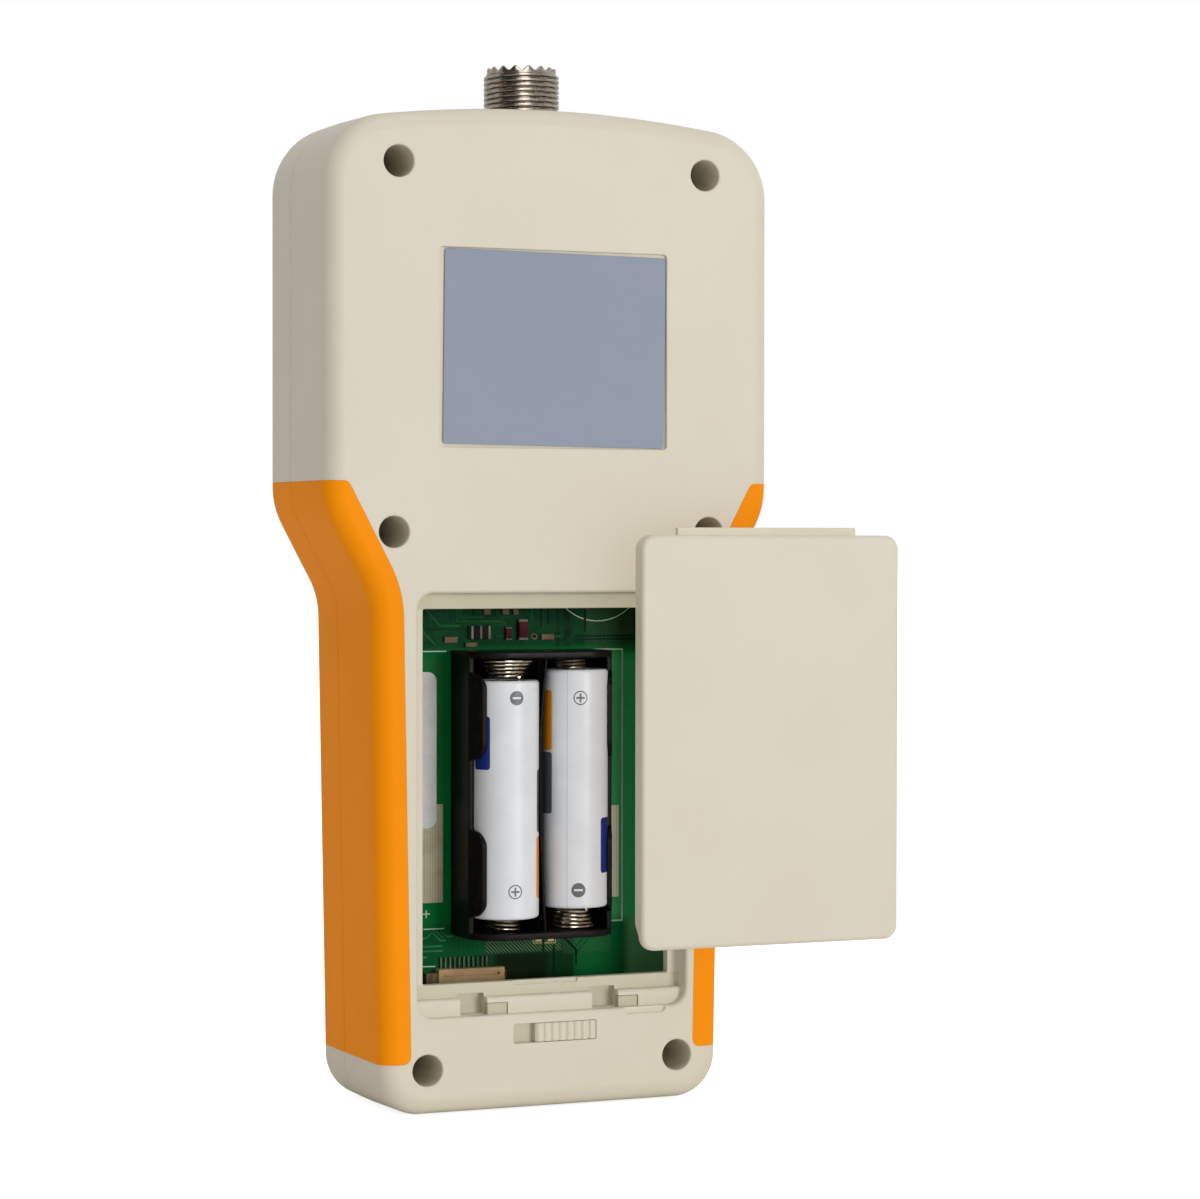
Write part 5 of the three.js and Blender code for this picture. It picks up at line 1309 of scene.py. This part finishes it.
def cableConnector():
    # a housing with a slot along its face and an open mouth for the cable, a clip at each end, and pins
    s, half, bottom = connectorShape, connectorShape["pinHalf"], connectorShape["bottom"]
    left, right, top = s["x"] - s["half"], s["x"] + s["half"], bottom + s["height"]
    low = boardFace + s["lift"]
    high, inner = low + s["thick"], (left + s["end"], right - s["end"])
    housing = plate((left + 1.1, right - 0.85, bottom, top, 0.3), low, high, 0.1, 0.25)
    cuts = [("-", slab(*inner, top - 1.5, top - 1.0, high - s["slot"], high + 1)),
            ("-", slab(*inner, bottom - 1, bottom + 1.2, high - s["mouth"], high + 1))]
    clips = [plate((s["x"] + start, s["x"] + end, bottom - 0.5, top - 0.7, 0.3), low, high - 0.3, 0.1, 0.2)
             for start, end in s["clips"]]
    pins = []
    for i in range(s["pins"]):
        x = s["x"] + s["pinShift"] + (i - (s["pins"] - 1) / 2) * s["pitch"]
        pins.append(slab(x - half, x + half, top - 0.9, top + s["pinReach"], low, low + s["pinHeight"], 0.05))
    smoothPiece("connectorHousing", "case", carve(housing, cuts), tan, "keypad_connector")
    smoothPiece("connectorClips", "case", joinForms(clips), clipTan)
    smoothPiece("connectorPins", "case", joinForms(pins), solder, weighted=False)


cableConnector()
sticker = plateOf("board_sticker", 2.0, 0, 0.04, edge=2)
smoothPiece("boardSticker", "case", sticker, paper, "board_sticker")
print("board ready")

# Front half of the case with its display opening, the holes for keys and sockets, and the screw posts
frontShape = {
    "displayHalfX": 33.0, "displayHalfY": 26.0, "displayY": 158.0, "displayBorder": 3.0,
    "displayCorner": 2.0, "windowDepth": 1.0, "flare": 0.3, "portGap": 0.3, "wayDepth": 5.0,
    "keyRows": 6, "keyColumns": 3, "keyHalfX": 8.0, "keyHalfY": 5.0, "keyCorner": 2.0, "keyGap": 0.4,
    "pitchX": 20.5, "pitchY": 15.0, "bottomRow": 24.0,
    "post": 4.0, "postHole": 1.2, "postDrop": 1.27, "boreDepth": 9.0,
}


def faceCutter(corners, depth):
    # the mouth of an opening in the front face: a flared cutter turned to point forwards
    points, faces = flaredCutter(corners, -depth, 0.0, frontShape["flare"], past=2.0)
    return points * np.array([1, 1, -1]), [face[::-1] for face in faces]


def frontShell():
    s, seam, border, gap = frontShape, caseShape["seam"], frontShape["displayBorder"], frontShape["keyGap"]
    posts = [disc(x, y, s["post"], caseShape["wall"] / 2, seam - s["postDrop"], 48) for x, y in wellPlaces]
    bores = [disc(x, y, s["postHole"], seam - s["boreDepth"], seam + 1, 24) for x, y in wellPlaces]
    display = centred(0, s["displayY"], s["displayHalfX"], s["displayHalfY"], s["displayCorner"])
    opening = centred(0, s["displayY"], s["displayHalfX"] - border, s["displayHalfY"] - border, 1.0)
    keys = []
    for row in range(s["keyRows"]):
        for column in range(s["keyColumns"]):
            x, y = (column - 1) * s["pitchX"], s["bottomRow"] + (s["keyRows"] - 1 - row) * s["pitchY"]
            hole = centred(x, y, s["keyHalfX"] + gap, s["keyHalfY"] + gap, s["keyCorner"] + gap)
            keys.append(faceCutter(hole, s["wayDepth"]))
    low, high = boxOf("data_socket")
    (x, _, z), (halfX, _, halfZ) = (low + high) / 2, (high - low) / 2 + s["portGap"]
    steps = [
        ("-", halfCavity("front")), ("+", joinForms(posts)), ("-", joinForms(bores)),
        ("-", faceCutter(display, s["windowDepth"])), ("-", block(opening, -1, 6)), ("-", joinForms(keys)),
        socketBore(), ("-", stoodUp(block(centred(x, -z, halfX, halfZ, 1.0), -3, s["wayDepth"]))),
    ]
    return carve(halfBlock("front"), steps + gripPockets)


def displayGlass():
    s, margin = frontShape, frontShape["displayBorder"] + 1.5
    finish = Finish("display glass", Coat_Weight=0.6, Coat_Roughness=0.04, Specular_IOR_Level=0.6)
    x, _, z = finish.axes()
    panel = (abs(x) < s["displayHalfX"] - margin) * (abs(z - s["displayY"]) < s["displayHalfY"] - margin)
    dots = ((x.modulo(0.5) < 0.42) * (z.modulo(0.5) < 0.42)) * 0.2
    lit = finish.mix(dots, paint(70, 78, 70), paint(84, 92, 82))
    colour = finish.mix(panel, paint(20, 20, 22), lit)
    finish.feed(Base_Color=colour, Roughness=0.08 + 0.04 * finish.noise(40.0))
    return finish.material


smoothPiece("frontShell", "case", frontShell(), beige, "front_shell")
window = plateOf("display_window", 1.7, 0.25, 0.1, edge=4)
smoothPiece("displayGlass", "case", window, displayGlass(), "display_window")

# Keys: crowned rubber caps with plain numbers and signs
rubber = speckled("key rubber", (62, 65, 70), (56, 59, 64), 0.6, 2600.0)
printWhite = plain("key print", (226, 228, 226), (214, 216, 214), 0.5)
keySigns = ["123", "456", "789", "-0+", "<^>", "*v#"]
keyForm = {"rim": 0.9, "crown": 0.55, "flangeThickness": 0.8, "printSize": 4.6, "printHeight": 0.06}


def keyCap(node):
    # rows of inset and depth, from the crowned top to the flange
    s, k, (low, high) = frontShape, keyForm, boxOf(node)
    flange, foot = (high[0] - low[0]) / 2 - s["keyHalfX"], high[2] - k["flangeThickness"]
    rows = [(-flange, high[2]), (-flange, foot), (0.0, foot)]
    rim, crown = k["rim"], k["crown"]
    for a in np.radians(np.linspace(0, 90, 7)):
        rows.append((rim * (1 - math.cos(a)), low[2] + crown + rim * 0.35 * (1 - math.sin(a))))
    rows += [(rim + 1.0 + 2.6 * t, low[2] + crown * (1 - t) ** 2) for t in np.linspace(0.2, 1, 5)]
    x, y, _ = middleOf(node)
    return stacked(centred(x, y, s["keyHalfX"], s["keyHalfY"], s["keyCorner"]), rows[::-1], 8)


def keyPrint(text, node):
    # a sign in relief on a key, readable from the front, which sees x running to the left
    curve = bpy.data.curves.new("print", "FONT")
    curve.body, curve.size, curve.extrude = text, keyForm["printSize"], keyForm["printHeight"]
    curve.align_x = curve.align_y = "CENTER"
    made = addObject("print", curve)
    mesh = finalMesh(made)
    bpy.data.objects.remove(made)
    bpy.data.curves.remove(curve)
    flat = placesOf(mesh)
    flat[:, :2] -= (flat.max(0) + flat.min(0))[:2] / 2
    x, y, _ = middleOf(node)
    mesh.vertices.foreach_set("co", toRow(flat * [-1, 1, -1] + [x, y, boxOf(node)[0][2]]).ravel())
    mesh.update()
    return mesh


for row, signs in enumerate(keySigns, 1):
    for column, sign in enumerate(signs[::-1], 1):
        place = f"{row}_{column}"
        node = f"key_{place}"
        smoothPiece(f"cap_{place}", node, keyCap(node), rubber, node)
        smoothPiece(f"print_{place}", node, keyPrint(sign, node), printWhite, weighted=False)
print("front ready")

# Camera, light and room
cameraView = {
    "lens": 101.09, "sensor": 36.0, "place": (-0.26949, -0.65935, 0.11689),
    "right": (0.91654, -0.39996, 0.00120), "up": (0.00544, 0.01549, 0.99987),
    "back": (-0.39993, -0.91641, 0.01637),
}


def makeCamera():
    v = cameraView
    data = bpy.data.cameras.new("camera")
    data.lens, data.sensor_width, data.clip_start, data.clip_end = v["lens"], v["sensor"], 0.01, 20
    camera = addObject("camera", data)
    turn = Matrix([v["right"], v["up"], v["back"]]).transposed().to_4x4()
    camera.matrix_world = Matrix.Translation(v["place"]) @ turn
    bpy.context.scene.camera = camera


# The key lies to the right of the case's rear normal. The cover throws no shadow, as in the photograph, and
# the socket's barrel mirrors the studio's walls alone.
lamps = [
    {"name": "key", "place": (1.13, -2.78, 0.14), "size": 1.1, "watts": 53.0},
    {"name": "top", "place": (0.0, -0.5, 2.6), "size": 1.6, "watts": 12.0},
]
lampAim = (0.0, 0.0, 0.11)


def makeLamp(name, place, size, watts):
    data = bpy.data.lights.new(name, "AREA")
    data.energy, data.size, data.shape = watts, size, "SQUARE"
    lamp = addObject(name, data)
    toward = (Vector(lampAim) - Vector(place)).to_track_quat("-Z", "Y").to_matrix().to_4x4()
    lamp.matrix_world = Matrix.Translation(place) @ toward
    for piece, role, group in (("batteryCover", "blocker", "passes"), ("socketBarrel", "receiver", "leaves")):
        spared = bpy.data.collections.new(f"{name} {group}")
        spared.objects.link(bpy.data.objects[piece])
        spared.collection_objects[0].light_linking.link_state = "EXCLUDE"
        setattr(lamp.light_linking, f"{role}_collection", spared)


makeCamera()
for lamp in lamps:
    makeLamp(**lamp)

# The walls of the studio as metal mirrors them: brightness by the angle in degrees round the object, from the
# rear face to the right, with the width over which each stretch passes into the next
room = {
    "ambient": 0.49, "floorSize": 12.0, "floorGlow": 0.8, "soft": 7.0,
    "wall": [(-180, 0.68), (-92, 0.06), (-27, 3.4), (2, 0.52), (60, 0.8)],
}


def rayKinds(tree):
    kinds = addNode(tree, "ShaderNodeLightPath").socket.node.outputs
    return [Value(tree, kinds[name]) for name in ("Is Camera Ray", "Is Glossy Ray", "Is Transmission Ray")]


def studioWall(tree):
    # brightness by the angle round the object, stepping softly from stretch to stretch
    x, y, _ = splitUp(tree, addNode(tree, "ShaderNodeTexCoord"))
    angle = x.maths("ARCTAN2", -y) * math.degrees(1)
    half, brightness = room["soft"] / 2, room["wall"][0][1]
    for (place, level), (_, before) in zip(room["wall"][1:], room["wall"]):
        brightness = angle.ramp(place - half, place + half) * (level - before) + brightness
    return brightness


def makeRoom():
    world = bpy.data.worlds.new("studio")
    bpy.context.scene.world = world
    world.use_nodes = True
    tree = world.node_tree
    background = tree.nodes["Background"].inputs
    camera, glossy, through = rayKinds(tree)
    direct = camera.largest(through)
    strength = direct + glossy * studioWall(tree) + (1 - direct.largest(glossy)) * room["ambient"]
    background["Color"].default_value = (1, 1, 1, 1)
    tree.links.new(strength.socket, background["Strength"])
    half, glow = room["floorSize"], room["floorGlow"]
    mesh = bpy.data.meshes.new("floor")
    corners = [(-half, -half, 0), (half, -half, 0), (half, half, 0), (-half, half, 0)]
    mesh.from_pydata(corners, [], [(0, 1, 2, 3)])
    white = Finish("studio floor", Roughness=0.9, Specular_IOR_Level=0.0, Base_Color=(0.95, 0.95, 0.95, 1))
    colour = white.mix(rayKinds(white.tree)[0], (0, 0, 0, 1), (glow, glow, glow, 1))
    white.feed(Emission_Color=colour, Emission_Strength=1.0)
    mesh.materials.append(white.material)
    addObject("floor", mesh)


makeRoom()
bpy.context.scene.view_settings.view_transform = "Standard"
